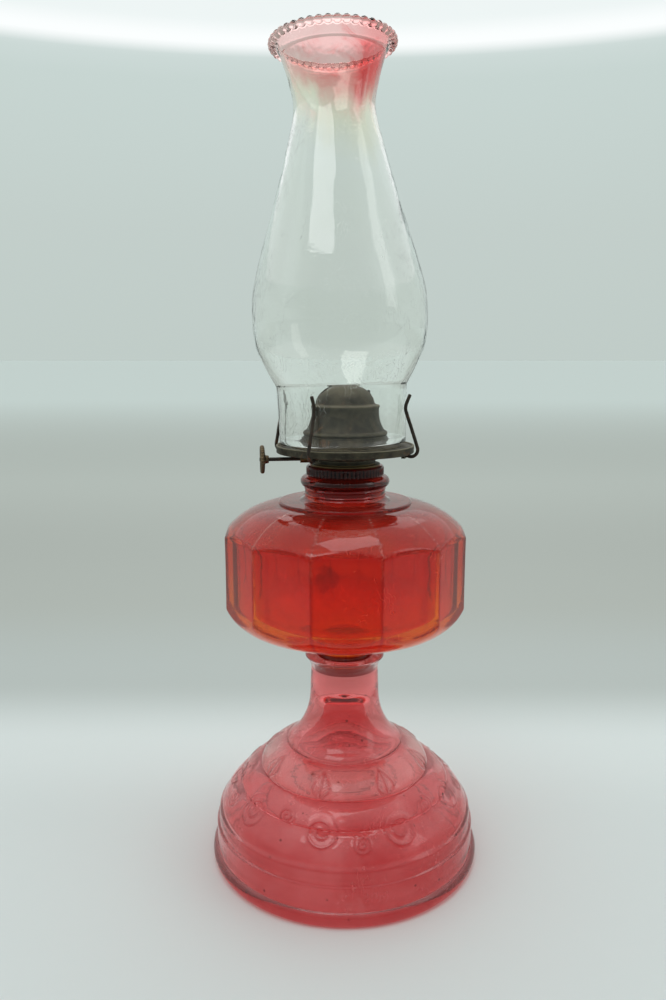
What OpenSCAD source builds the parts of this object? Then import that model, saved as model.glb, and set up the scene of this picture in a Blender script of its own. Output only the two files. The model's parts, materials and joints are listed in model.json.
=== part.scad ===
// Oil lamp with a flat-wick burner: a pressed-glass pedestal, a twelve-panel glass font, a brass burner
// with a round chimney gallery, and a bead-top glass chimney. Millimetres, +Z up, origin on the floor
// under the middle of the foot.

/* [Pedestal] */
// Radius over the foot rim
foot_r = 80.4; // [67:0.1:97]
// Height of the rounded foot rim
foot_rim_h = 8.5; // [7:0.1:11]
// Height of the plain band above the rim
lower_band_h = 14.9; // [10:0.1:19]
// Height of the plain band below the domes
upper_band_h = 7.7; // [5:0.1:12]
// Height of the lowest dome
lower_dome_h = 14.6; // [11:0.1:19]
// Radius of the step over the lowest dome
lower_step_r = 63.8; // [60:0.1:66]
// Height of the middle dome
middle_dome_h = 10.1; // [7:0.1:14]
// Radius of the step over the middle dome
upper_step_r = 52.1; // [48:0.1:56]
// Height of the top dome
upper_dome_h = 13.8; // [10:0.1:18]
// Radius of the ring at the foot of the stem
stem_ring_r = 35.6; // [31:0.1:40]
// Radius of the slim part of the stem
stem_r = 20; // [18.5:0.1:24]
// Height of the stem from its ring to its lip
stem_h = 54.8; // [45:0.2:67]
// How far the lip of the stem flares past the stem
lip_flare = 3.8; // [2:0.1:5]
// Solid glass between the peg's socket and the hollow below it
stem_solid_h = 17.8; // [12:0.1:22]
// Thickness of the pedestal's glass
pedestal_wall = 5; // [4:0.1:6]

/* [Font] */
// Radius of the font over its corners
font_r = 70; // [60:0.5:86]
// Number of flat panels round the font
font_panels = 12; // [8:1:12]
// Height of the curved underside
underside_h = 32.2; // [26:0.1:40]
// Height of the panels at the corners
panel_h = 42; // [34:0.5:54]
// Height of the curved shoulder
shoulder_h = 16.8; // [13:0.1:20]
// Thickness of the font's glass
font_wall = 4.5; // [3.5:0.1:5.5]
// Radius of the raised disc round the neck
disc_r = 38.1; // [34:0.1:44]
// Radius of the peg that stands in the stem
peg_r = 15.2; // [13:0.1:15.5]
// Depth of the peg below the top of the stem
peg_depth = 7.8; // [6:0.1:9.5]
// Height of the fillet between the peg and the underside
shank_h = 8.7; // [7:0.1:10]
// Width of the part of the underside that turns up to the panels
turn_up_w = 17; // [14:0.5:22]
// Height of the part of the underside that turns up to the panels
turn_up_h = 13.8; // [11:0.1:17]
// Thickness of the glass wall of the neck
neck_wall = 4; // [3.2:0.1:5]
// Height of the neck above the raised disc
neck_h = 20.4; // [17:0.1:25]
// Number of upright ribs round the top of the neck
neck_ribs = 60; // [36:1:72]

/* [Cement and thread] */
// Thickness of the cement between glass and glass, and glass and brass
cement_t = 1.2; // [0.8:0.1:1.6]
// Wall of the threaded collar
collar_wall = 1.1; // [0.9:0.1:1.5]
// Wall of the burner's thread ring
thread_wall = 1.2; // [1:0.1:1.6]
// Length of the thread below the collar's flange
thread_len = 10.8; // [8:0.1:13]

/* [Wick and its drive] */
// Width of the woven wick
wick_w = 25.4; // [21:0.1:31]
// Thickness of the woven wick
wick_t = 3; // [2.4:0.1:3.8]
// Height of the wick tube above the gallery floor
wick_tube_rise = 26.4; // [22:0.2:27]
// How far the wick shows above its tube
wick_show = 3; // [1:0.5:5]
// How far the wick hangs below its tube
wick_hang = 22; // [10:1:60]
// Radius of the spur wheels over their teeth
spur_r = 4; // [3.4:0.1:4.3]
// Radius of the wick spindle
spindle_r = 1.1; // [0.9:0.05:1.4]
// Direction of the knob, seen from above, in degrees from +X
spindle_az = -172.5; // [-180:0.5:-165]
// Distance of the knob from the lamp's axis along the spindle
knob_reach = 47.4; // [45:0.1:58]
// Radius of the knob
knob_r = 7.9; // [6.5:0.1:9]

/* [Burner] */
// Thickness of the burner's sheet brass
sheet = 0.5; // [0.4:0.05:0.7]
// Height of the burner from the collar to the gallery floor
bowl_h = 9.4; // [9:0.1:12]
// Width of the rolled gallery rim
rim_w = 1.2; // [1:0.1:1.5]
// Height of the rolled gallery rim
rim_h = 4.2; // [3.5:0.1:5]
// Height of the deflector above the gallery floor
deflector_h = 31.8; // [31:0.2:38]
// Height of the deflector's ledge above the gallery floor
ledge_h = 22.9; // [20:0.1:24]
// Width of the flame slot
slot_w = 7; // [5.6:0.1:8]
// Width of the deflector's flange that rests on the gallery floor
flange_rest = 2.4; // [1.5:0.1:3]

/* [Prongs] */
// Radius of the spring wire
wire_r = 0.875; // [0.75:0.025:1]
// Directions of the four prongs, seen from above, in degrees from +X
prong_az = [-117, -22, 68, 156]; // [-180:0.5:180]
// Height of the bend that holds the chimney, above the gallery floor
prong_bend_h = 22.3; // [18:0.1:25]
// Height of the prong tips above the gallery floor
prong_tip_h = 29.3; // [26:0.1:34]

/* [Chimney] */
// Outer radius of the fitter at its foot
fitter_r = 35.8; // [34:0.1:44]
// Height of the fitter
fitter_h = 32.4; // [32:0.1:40]
// How much the fitter widens to its top
fitter_flare = 1.1; // [0.6:0.1:1.6]
// Outer radius of the bulge
bulge_r = 49; // [46:0.1:60]
// Height of the bulge's widest place above the fitter
bulge_rise = 39.5; // [33:0.5:48]
// Outer radius of the narrow throat
throat_r = 22.3; // [19:0.1:27]
// Height of the throat above the bulge's widest place
throat_rise = 106.2; // [88:0.2:128]
// Height of the flared crown above the throat
crown_rise = 36; // [30:0.2:42]
// Radius over the crown's beads
crown_r = 34.65; // [30:0.05:40]
// Radius of one bead
bead_r = 2.25; // [1.9:0.05:2.3]
// Number of beads round the crown
bead_count = 44; // [36:1:46]
// Thickness of the chimney's glass
chimney_wall = 1.9; // [1.6:0.1:2.2]
// How far the chimney leans, in degrees
chimney_lean = 2.2; // [0:0.1:2.6]
// Direction in which the chimney leans, seen from above, in degrees from +X
chimney_lean_az = 135; // [-180:1:180]
// How far the chimney's foot stands off the lamp's axis, on the side it leans to
chimney_shift = 1.7; // [0:0.1:2]

/* [Fits] */
// Radial clearance of a shaft or thread that turns
running_clear = 0.05; // [0.02:0.01:0.1]
// Clearance between pieces that slide or lift past each other
slide_clear = 0.4; // [0.3:0.05:0.6]
// Gap between a piece and the one it rests on
rest_gap = 0.1; // [0.05:0.05:0.2]
// Play of the chimney's foot inside the gallery's rim
foot_play = 2.2; // [2.1:0.1:3]

/* [Hidden] */
$fn = 96;

// Heights up the lamp, each from the one below it
foot_top = foot_rim_h;
band_line = foot_top + lower_band_h;
dome_foot = band_line + upper_band_h;
lower_step_z = dome_foot + lower_dome_h;
upper_step_z = lower_step_z + middle_dome_h;
stem_ring_z = upper_step_z + upper_dome_h;
stem_top = stem_ring_z + stem_h;
font_foot = stem_top + 0.4;
peg_bottom = font_foot - peg_depth;
socket_bottom = peg_bottom - cement_t;
shank_top = font_foot + shank_h;
panel_bottom = stem_top + underside_h;
panel_top = panel_bottom + panel_h;
font_floor_z = shank_top + font_wall;
disc_z = panel_top + shoulder_h;
disc_top = disc_z + 1.5;
neck_top = disc_top + neck_h;
collar_flange_t = 0.7;
collar_top = neck_top + collar_flange_t;
ring_flange_t = 0.6;
bowl_z = collar_top + ring_flange_t + rest_gap;
floor_top = bowl_z + bowl_h;
spindle_z = bowl_z + 2.9;
thread_bottom = collar_top - thread_len;
tube_bottom = spindle_z - spur_r - 4;
tube_top = floor_top + wick_tube_rise;

// Radii outwards from the wick: everything round it has to let the wick tube through
tube_half_w = wick_w / 2 + slide_clear + sheet;
tube_half_t = wick_t / 2 + slide_clear + sheet;
sleeve_in_r = norm([tube_half_w, tube_half_t]) + slide_clear;
sleeve_out_r = sleeve_in_r + sheet;
thread_in_r = sleeve_out_r + running_clear;
thread_r = thread_in_r + thread_wall;
collar_in_r = thread_r + running_clear;
collar_out_r = collar_in_r + collar_wall;
neck_bore_r = collar_out_r + cement_t;
neck_r = neck_bore_r + neck_wall;
burner_neck_r = thread_r + 1.3;
cap_r = burner_neck_r - sheet;
spindle_off = wick_t / 2 + 0.3 + spur_r;
housing_half_w = sleeve_in_r * 0.62;
housing_depth = spindle_off + spur_r + 0.6;
spur_spacing = wick_w * 0.26;
spur_t = 1.2;
vent_r = 1.5;
vent_off = tube_half_t + 2.6;

// Radii inwards from the chimney: the gallery and the deflector take their size from its fitter
rim_in_r = fitter_r + foot_play;
rim_wrap_r = rim_in_r + rim_w / 2;
gallery_r = rim_in_r + rim_w;
flange_r = fitter_r - chimney_wall - chimney_shift - 0.5;
dome_r = tube_half_w + 3.2;
cone_top_r = dome_r + 2.5;
cone_foot_r = cone_top_r + 4.8;
floor_in_r = flange_r - flange_rest;
chimney_z = floor_top + rest_gap;
deflector_z = floor_top + rest_gap;
screen_top = floor_top - sheet - 0.5;
bowl_rim_z = screen_top - sheet;
bowl_flat_r = gallery_r - 8;
fitter_top_r = fitter_r + fitter_flare;
fitter_top_z = chimney_z + fitter_h;
bulge_z = fitter_top_z + bulge_rise;
throat_z = bulge_z + throat_rise;
crown_z = throat_z + crown_rise;

// Prongs: pivot under the rim, out and up round it, in to the glass, then out again at the tip
pivot_r = gallery_r - 4.2;
pivot_z = bowl_rim_z - sheet - wire_r - 0.35;
hook_reach = 10.6;
hook_drop = 4.5;
hook_bend_r = 4;
hold_bend_r = 6;
wire_gap = 0.5;

// ---- outline helpers: points run from p to q, bowed to the right of the way by the given height ----

function arc(p, q, bow, steps = 8) =
    let (
        chord = q - p,
        len = norm(chord),
        along = chord / len,
        right = [along[1], -along[0]],
        radius = (len * len / 4 + bow * bow) / (2 * bow),
        half = 2 * atan(2 * bow / len)
    )
    [
        for (i = [0 : steps])
            let (a = half * (2 * i / steps - 1))
            (p + q) / 2 + along * radius * sin(a) + right * (radius * cos(a) - radius + bow)
    ];

// A smooth curve through its stations, each span cut into steps
function curve(stations, steps = 5) =
    let (last = len(stations) - 1)
    [
        for (i = [0 : last - 1], s = [0 : steps - 1])
            let (
                t = s / steps,
                a = stations[max(i - 1, 0)],
                b = stations[i],
                c = stations[i + 1],
                d = stations[min(i + 2, last)]
            )
            b + (c - a) * t / 2 + (2 * a - 5 * b + 4 * c - d) * t * t / 2
                + (3 * b - a - 3 * c + d) * t * t * t / 2,
        stations[last]
    ];

function reversed(points) = [for (i = [len(points) - 1 : -1 : 0]) points[i]];

function direction(p, q) = (q - p) / norm(q - p);

function turn_angle(p, q, r) =
    let (u = direction(p, q), v = direction(q, r))
    atan2(u[0] * v[1] - u[1] * v[0], u * v);

module lathe(points) {
    rotate_extrude(convexity = 8)
        polygon(points);
}

module tube(outer_r, inner_r, z0, z1) {
    translate([0, 0, z0])
        difference() {
            cylinder(r = outer_r, h = z1 - z0);
            translate([0, 0, -1])
                cylinder(r = inner_r, h = z1 - z0 + 2);
        }
}

// Stands its children in the spindle's frame: +X along the spindle to the knob, +Y across the wick
module along_spindle() {
    rotate([0, 0, spindle_az])
        children();
}

// A round rod along +X at the height and offset of the spindle
module spindle_rod(r, x0, x1) {
    translate([x0, spindle_off, spindle_z])
        rotate([0, 90, 0])
            cylinder(r = r, h = x1 - x0, $fn = 48);
}

// A flat tube section with round ends, standing from z0 to z1
module flat_section(half_w, half_t, z0, z1) {
    translate([0, 0, z0])
        linear_extrude(height = z1 - z0)
            union() {
                square([2 * (half_w - half_t), 2 * half_t], center = true);
                for (side = [-1, 1])
                    translate([side * (half_w - half_t), 0])
                        circle(r = half_t, $fn = 32);
            }
}

// ---- pedestal ----

module pedestal_hollow() {
    inner_foot_r = foot_r - pedestal_wall;
    hollow_top = socket_bottom - stem_solid_h;
    ring_in = [stem_ring_r - 0.8 * pedestal_wall, stem_ring_z - 0.6 * pedestal_wall];
    neck_in_r = stem_r / 2 + 1.6;
    lathe(concat(
        [
            [0, -1],
            [inner_foot_r - 2.8, -1],
            [inner_foot_r - 3.8, band_line - 1],
            [inner_foot_r - 4.4, dome_foot - 0.6 * pedestal_wall],
            [lower_step_r - 0.7 * pedestal_wall, lower_step_z - 0.7 * pedestal_wall]
        ],
        arc([upper_step_r - 0.65 * pedestal_wall, upper_step_z - 0.75 * pedestal_wall], ring_in, 1.4, 6),
        arc(ring_in + [-0.6, 0.5], [neck_in_r, hollow_top - 5], -4, 8),
        arc([neck_in_r - 0.2, hollow_top - 4.6], [0, hollow_top], 3.4, 5)
    ));
}

module pedestal_outline() {
    waist_z = stem_ring_z + stem_h * 0.57;
    lip_z = stem_top - 7.4;
    lathe(concat(
        [[0, 0]],
        arc([foot_r - 3, 0], [foot_r - 1.6, foot_rim_h], 2.25, 8),
        [
            [foot_r - 2.6, foot_rim_h + 0.8],
            [foot_r - 2.8, band_line - 1],
            [foot_r - 3.7, band_line],
            [foot_r - 4, band_line + 0.6],
            [foot_r - 4.6, dome_foot - 0.6]
        ],
        arc([foot_r - 5.2, dome_foot + 0.4], [lower_step_r + 0.4, lower_step_z - 0.2], 0.6, 5),
        arc([lower_step_r, lower_step_z], [upper_step_r + 0.4, upper_step_z - 0.2], 0.5, 5),
        arc([upper_step_r - 0.4, upper_step_z], [stem_ring_r + 0.2, stem_ring_z - 0.2], 1.9, 7),
        arc([stem_ring_r - 0.3, stem_ring_z], [stem_r + 0.5, waist_z], -3.8, 10),
        [[stem_r + 0.1, waist_z + 8]],
        arc([stem_r, lip_z], [stem_r + lip_flare, stem_top - 0.7], -0.9, 5),
        [[stem_r + lip_flare - 0.5, stem_top], [0, stem_top]]
    ));
}

// The peg under the font, with the wider ring at its foot
module font_peg(top_z) {
    ring_w = 0.9;
    lathe([
        [0, peg_bottom],
        [peg_r + ring_w - 0.4, peg_bottom],
        [peg_r + ring_w, peg_bottom + 0.5],
        [peg_r + ring_w, peg_bottom + 1.5],
        [peg_r, peg_bottom + 2.1],
        [peg_r, top_z],
        [0, top_z]
    ]);
}

module stem_socket(top_z) {
    translate([0, 0, socket_bottom])
        cylinder(r = peg_r + cement_t + 0.4, h = top_z - socket_bottom);
}

module pedestal() {
    color("palevioletred")
        difference() {
            pedestal_outline();
            pedestal_hollow();
            stem_socket(stem_top + 1);
        }
}

module stem_cement() {
    color("gainsboro")
        difference() {
            stem_socket(stem_top - 1.2);
            font_peg(stem_top + 1);
        }
}

// ---- font ----

// Solid body between the underside and the raised disc, cut to flat panels with one facing -Y
module font_panelled() {
    flat_turn = -90 + 180 / font_panels;
    turn_up_start = [font_r - turn_up_w, panel_bottom - turn_up_h];
    intersection() {
        lathe(concat(
            [[0, font_foot]],
            arc([peg_r, font_foot], [peg_r + shank_h, shank_top], -2.5, 6),
            arc(turn_up_start, [font_r, panel_bottom], 2.5, 8),
            arc([font_r, panel_top], [disc_r, disc_z], 3.9, 12),
            [[disc_r, disc_top - 0.5], [disc_r - 0.7, disc_top], [0, disc_top]]
        ));
        rotate([0, 0, flat_turn])
            translate([0, 0, font_foot - 1])
                cylinder(r = font_r, h = disc_top - font_foot + 2, $fn = font_panels);
    }
}

module font_neck() {
    ring_z = neck_top - 9.1;
    lathe(concat(
        [[0, disc_top - 4], [disc_r - 2, disc_top - 4], [disc_r - 2, disc_top - 0.1]],
        arc([neck_r + 5.4, disc_top + 0.5], [neck_r + 1, disc_top + 3], -0.9, 5),
        [
            [neck_r + 1.5, disc_top + 3.8],
            [neck_r + 1, disc_top + 4.6],
            [neck_r + 0.9, disc_top + 6.4],
            [neck_r + 1.3, disc_top + 7]
        ],
        arc([neck_r + 0.9, ring_z - 3.3], [neck_r + 0.6, ring_z + 3.2], 2.6, 9),
        [[neck_r, ring_z + 3.6]],
        arc([neck_r, neck_top - 1.9], [neck_r - 1.9, neck_top], 0.7, 5),
        [[0, neck_top]]
    ));
}

module neck_flutes() {
    flute_r = 0.75;
    for (i = [0 : neck_ribs - 1])
        rotate([0, 0, 360 * (i + 0.5) / neck_ribs])
            translate([neck_r + flute_r * 0.45, 0, neck_top - 5.2])
                cylinder(r = flute_r, h = 4.2, $fn = 16);
}

module font_cavity() {
    cavity_r = font_r * cos(180 / font_panels) - font_wall;
    turn_up_start = [font_r - turn_up_w - 1, panel_bottom - turn_up_h + font_wall + 0.2];
    lathe(concat(
        [[0, font_floor_z], [peg_r + shank_h, font_floor_z + 0.4]],
        arc(turn_up_start, [cavity_r, panel_bottom + 3], 2.2, 8),
        arc([cavity_r, panel_top - 1], [disc_r - 2, disc_z - font_wall], 3.6, 10),
        [[neck_bore_r, disc_z - font_wall + 0.6], [neck_bore_r, neck_top + 1], [0, neck_top + 1]]
    ));
}

module font() {
    color("firebrick")
        difference() {
            union() {
                font_panelled();
                font_neck();
                font_peg(font_foot + 0.5);
            }
            font_cavity();
            neck_flutes();
        }
}

module collar_cement() {
    color("gainsboro")
        tube(neck_bore_r, collar_out_r, thread_bottom, neck_top);
}

module thread_collar() {
    color("darkkhaki") {
        tube(collar_out_r, collar_in_r, thread_bottom, collar_top);
        tube(neck_bore_r + neck_wall * 0.4, collar_out_r, neck_top, collar_top);
    }
}

// ---- burner shells ----

module burner_thread_ring() {
    color("darkkhaki")
        union() {
            tube(thread_r, thread_in_r, thread_bottom + 0.6, collar_top + rest_gap);
            tube(burner_neck_r + 0.3, thread_in_r, collar_top + rest_gap,
                 collar_top + ring_flange_t);
        }
}

// Spun bowl: a sleeve inside the thread ring, a short neck and a shallow bowl out to the gallery
module burner_body() {
    neck_bend_z = bowl_z + 2;
    under_z = bowl_rim_z - sheet;
    hole_ring_r = (burner_neck_r + bowl_flat_r) / 2;
    hole_count = 24;
    bushing_turn = asin(spindle_off / hole_ring_r);
    color("dimgray")
        difference() {
            lathe(concat(
                [
                    [sleeve_in_r, thread_bottom + 5],
                    [sleeve_out_r, thread_bottom + 5],
                    [sleeve_out_r, bowl_z],
                    [burner_neck_r, bowl_z]
                ],
                arc([burner_neck_r, neck_bend_z], [bowl_flat_r, under_z], 0.9, 6),
                [
                    [rim_wrap_r, under_z],
                    [rim_wrap_r, bowl_rim_z],
                    [bowl_flat_r - 0.2, bowl_rim_z]
                ],
                reversed(arc([burner_neck_r + 0.2, neck_bend_z + sheet], [bowl_flat_r - 1, bowl_rim_z - 0.2],
                             0.9, 6)),
                [
                    [cap_r, neck_bend_z],
                    [cap_r, bowl_z + sheet],
                    [sleeve_in_r, bowl_z + sheet]
                ]
            ));
            rotate([0, 0, spindle_az + bushing_turn + 180 / hole_count])
                for (i = [0 : hole_count - 1])
                    rotate([0, 0, 360 * i / hole_count])
                        translate([hole_ring_r, 0, bowl_z])
                            cylinder(r = 1.3, h = bowl_h, $fn = 24);
            along_spindle()
                spindle_rod(2 * spindle_r, 0, bowl_flat_r);
        }
}

// Inverted cup that closes the oil side from the air side
module inner_cap() {
    top_z = screen_top + 0.6;
    color("darkkhaki")
        difference() {
            translate([0, 0, bowl_z + sheet])
                cylinder(r = cap_r, h = top_z - bowl_z - sheet);
            translate([0, 0, bowl_z - 1])
                cylinder(r = cap_r - sheet, h = top_z - sheet - bowl_z + 1);
            along_spindle() {
                flat_section(tube_half_w, tube_half_t, bowl_z, top_z + 1);
                spindle_rod(2 * spindle_r, 0, 2 * cap_r);
                translate([0, -vent_off, bowl_z])
                    cylinder(r = vent_r, h = bowl_h * 2, $fn = 32);
            }
        }
}

// Perforated plate between the bowl and the gallery floor
module air_screen() {
    color("darkkhaki")
        translate([0, 0, bowl_rim_z])
            linear_extrude(height = sheet)
                difference() {
                    circle(r = rim_in_r);
                    circle(r = cap_r);
                    for (ring = [0 : 2], i = [0 : 35])
                        rotate([0, 0, 10 * (i + ring / 2)])
                            translate([cap_r + 2.6 + 3.4 * ring, 0])
                                circle(r = 1.05, $fn = 20);
                }
}

// Floor ring under the chimney's foot, and the rolled rim that wraps the edge of the bowl
module gallery() {
    edge = 0.4 * rim_w;
    edge_bow = 0.29 * edge;
    rim_top = floor_top + 0.7;
    rim_bottom = rim_top - rim_h;
    color("dimgray")
        union() {
            tube(rim_wrap_r, floor_in_r, screen_top, floor_top);
            lathe(concat(
                [[rim_wrap_r, rim_bottom]],
                arc([gallery_r - edge, rim_bottom], [gallery_r, rim_bottom + edge], edge_bow, 4),
                arc([gallery_r, rim_top - edge], [gallery_r - edge, rim_top], edge_bow, 4),
                arc([rim_in_r + edge, rim_top], [rim_in_r, rim_top - edge], edge_bow, 4),
                [[rim_in_r, bowl_rim_z], [rim_wrap_r, bowl_rim_z]]
            ));
        }
}

// Straps under the bowl that hold the inner ends of the prongs
module prong_clips() {
    half_len = 0.95;
    half_w = wire_r + 1.1;
    strap_bottom = pivot_z - wire_r - 1.6;
    color("dimgray")
        for (k = [0 : 3])
            rotate([0, 0, prong_az[k]])
                translate([pivot_r, 0, 0])
                    difference() {
                        translate([-half_len, -half_w, strap_bottom])
                            cube([2 * half_len, 2 * half_w, bowl_rim_z - sheet - strap_bottom]);
                        translate([-half_len - 1, -half_w + 0.6, strap_bottom + 0.6])
                            cube([2 * half_len + 2, 2 * (half_w - 0.6), bowl_h]);
                    }
}

// ---- wick, its tube and its drive ----

module wick_tube() {
    color("darkkhaki")
        along_spindle()
            difference() {
                flat_section(tube_half_w, tube_half_t, tube_bottom, tube_top);
                flat_section(tube_half_w - sheet, tube_half_t - sheet, tube_bottom - 1, tube_top + 1);
                for (side = [-1, 1])
                    translate([side * spur_spacing - spur_t / 2 - 0.5, 0, spindle_z - spur_r - 0.4])
                        cube([spur_t + 1, housing_depth, 2 * spur_r + 0.8]);
            }
}

module vent_tube() {
    color("darkkhaki")
        along_spindle()
            translate([0, -vent_off, 0])
                difference() {
                    translate([0, 0, bowl_z + 1])
                        cylinder(r = vent_r, h = wick_tube_rise * 0.8, $fn = 32);
                    translate([0, 0, bowl_z])
                        cylinder(r = vent_r - 0.4, h = wick_tube_rise, $fn = 32);
                }
}

// Open-backed box on the wick tube that carries the spindle
module spindle_housing() {
    half_h = spur_r + 0.9;
    color("darkkhaki")
        along_spindle()
            difference() {
                translate([-housing_half_w, tube_half_t, spindle_z - half_h])
                    cube([2 * housing_half_w, housing_depth - tube_half_t, 2 * half_h]);
                translate([sheet - housing_half_w, tube_half_t - 1, spindle_z - half_h + sheet])
                    cube([2 * (housing_half_w - sheet), housing_depth - tube_half_t + 1 - sheet,
                          2 * (half_h - sheet)]);
                spindle_rod(spindle_r + running_clear, -20, 20);
            }
}

module spindle_bushing() {
    color("darkkhaki")
        along_spindle()
            difference() {
                spindle_rod(2 * spindle_r, sqrt(cap_r * cap_r - spindle_off * spindle_off) - 2.4,
                            bowl_flat_r - 5);
                spindle_rod(spindle_r + running_clear, 0, 40);
            }
}

module wick_spindle() {
    color("saddlebrown")
        along_spindle()
            difference() {
                spindle_rod(spindle_r, -housing_half_w - 1.2, knob_reach + 1.6);
                for (side = [-1, 1])
                    spindle_groove(side * (housing_half_w + 0.6));
            }
}

// Shallow groove round the spindle, just outside the housing's wall
module spindle_groove(x) {
    translate([x, spindle_off, spindle_z])
        rotate([0, 90, 0])
            difference() {
                cylinder(r = spindle_r + 1, h = 0.4, center = true, $fn = 48);
                cylinder(r = spindle_r - 0.2, h = 1, center = true, $fn = 48);
            }
}

module spur_wheel(side) {
    teeth = 10;
    color("darkkhaki")
        along_spindle()
            translate([side * spur_spacing, spindle_off, spindle_z])
                rotate([0, 90, 0])
                    translate([0, 0, -spur_t / 2])
                        linear_extrude(height = spur_t)
                            difference() {
                                polygon([
                                    for (i = [0 : 2 * teeth - 1])
                                        let (a = 180 * i / teeth, r = i % 2 == 0 ? spur_r : spur_r - 1.3)
                                        [r * cos(a), r * sin(a)]
                                ]);
                                circle(r = spindle_r, $fn = 48);
                            }
}

module spur_wheel_inner() {
    spur_wheel(-1);
}

module spur_wheel_outer() {
    spur_wheel(1);
}

// Thin dished wheel with a beaded edge and a hub on its inner side
module wick_knob() {
    notches = 28;
    disc_t = 1.2;
    color("peru")
        along_spindle()
            translate([knob_reach, spindle_off, spindle_z])
                rotate([0, 90, 0])
                    difference() {
                        lathe([
                            [spindle_r, -3.6],
                            [2.2, -3.6],
                            [2.5, -1],
                            [knob_r * 0.62, -disc_t],
                            [knob_r - 0.9, -disc_t],
                            [knob_r, -disc_t * 0.4],
                            [knob_r, disc_t * 0.5],
                            [knob_r - 0.9, disc_t],
                            [knob_r * 0.62, disc_t * 0.1],
                            [2.6, disc_t * 0.2],
                            [2.2, 1.2],
                            [spindle_r, 1.2]
                        ]);
                        for (i = [0 : notches - 1])
                            rotate([0, 0, 360 * i / notches])
                                translate([knob_r + 0.25, 0, -2])
                                    cylinder(r = 0.55, h = 4, $fn = 16);
                    }
}

module wick() {
    color("ivory")
        along_spindle()
            flat_section(wick_w / 2, wick_t / 2, tube_bottom - wick_hang, tube_top + wick_show);
}

// ---- deflector ----

module deflector() {
    ledge_z = deflector_z + ledge_h;
    dome_top = deflector_z + deflector_h;
    bead_z = deflector_z + 7.6;
    color("dimgray")
        difference() {
            lathe(concat(
                [[flange_r, deflector_z], [flange_r, deflector_z + sheet]],
                arc([flange_r - 0.8, deflector_z + 1.1], [cone_foot_r, bead_z - 2.6], -1, 6),
                [[cone_foot_r - 0.9, bead_z - 1.6]],
                arc([cone_foot_r - 0.5, bead_z - 1.2], [cone_foot_r - 1.2, bead_z + 1], 0.7, 5),
                arc([cone_foot_r - 2, bead_z + 1.5], [cone_top_r, ledge_z - 0.6], -1.3, 8),
                [[cone_top_r - 0.4, ledge_z], [dome_r + 0.2, ledge_z + 0.9]],
                arc([dome_r, ledge_z + 1.2], [0, dome_top], 4.3, 10),
                reversed(arc([dome_r - sheet, ledge_z + 1], [0, dome_top - sheet], 4.2, 10)),
                [[dome_r - sheet, ledge_z + 0.4], [cone_top_r - sheet, ledge_z - 0.8]],
                reversed(arc([cone_foot_r - 2 - sheet, bead_z + 1.5], [cone_top_r - sheet, ledge_z - 0.8],
                             -1.3, 8)),
                [[cone_foot_r - 1.4 - sheet, bead_z - 1.6]],
                reversed(arc([flange_r - 1.1, deflector_z + 0.65], [cone_foot_r - 0.5, bead_z - 3.1],
                             -1, 6)),
                [[flange_r - 1.3, deflector_z]]
            ));
            along_spindle()
                flat_section(tube_half_w + 0.8, slot_w / 2, ledge_z + 1.6, dome_top + 5);
        }
}

// ---- prongs ----

// Round wire through plane points [r, z], with a bend radius at each inner point
module bent_wire(points, bends) {
    count = len(points);
    trims = [
        for (i = [0 : count - 1])
            i == 0 || i == count - 1 ? 0
                : bends[i] * tan(abs(turn_angle(points[i - 1], points[i], points[i + 1])) / 2)
    ];
    for (i = [0 : count - 2]) {
        u = direction(points[i], points[i + 1]);
        start = points[i] + u * trims[i];
        run = norm(points[i + 1] - points[i]) - trims[i] - trims[i + 1];
        translate([start[0], 0, start[1]])
            rotate([0, atan2(u[0], u[1]), 0])
                cylinder(r = wire_r, h = run, $fn = 32);
        // A ball a hair larger than the wire joins each end of a run to its bend
        for (end = [i == 0 ? 1 : 0 : i == count - 2 ? 0 : 1])
            translate([start[0] + u[0] * run * end, 0, start[1] + u[1] * run * end])
                sphere(r = wire_r + 0.02, $fn = 32);
    }
    for (i = [1 : count - 2]) {
        swing = turn_angle(points[i - 1], points[i], points[i + 1]);
        u = direction(points[i - 1], points[i]);
        side = swing > 0 ? 1 : -1;
        centre = points[i] - u * trims[i] + side * bends[i] * [-u[1], u[0]];
        translate([centre[0], 0, centre[1]])
            rotate([90, 0, 0])
                rotate([0, 0, atan2(u[1], u[0]) - side * 90 - (side < 0 ? abs(swing) : 0)])
                    rotate_extrude(angle = abs(swing), $fn = 96)
                        translate([bends[i], 0])
                            circle(r = wire_r, $fn = 32);
    }
}

// Radius at which the wire's middle passes the chimney, which leans towards some prongs
function prong_touch_r(k) =
    fitter_r + fitter_flare * prong_bend_h / fitter_h + wire_r + wire_gap
        + (chimney_shift + prong_bend_h * tan(chimney_lean)) * cos(prong_az[k] - chimney_lean_az);

module prong(k) {
    touch_r = prong_touch_r(k);
    bend_z = floor_top + prong_bend_h;
    tip_z = floor_top + prong_tip_h;
    color("saddlebrown")
        rotate([0, 0, prong_az[k]])
            bent_wire(
                [
                    [pivot_r - 0.5, pivot_z + 0.1],
                    [pivot_r + hook_reach, pivot_z - hook_drop],
                    [touch_r - 0.45, bend_z],
                    [touch_r + (tip_z - bend_z) * 0.33, tip_z]
                ],
                [0, hook_bend_r, hold_bend_r, 0]
            );
}

module prong_front_left() {
    prong(0);
}

module prong_front_right() {
    prong(1);
}

module prong_back_right() {
    prong(2);
}

module prong_back_left() {
    prong(3);
}

// ---- chimney ----

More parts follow.
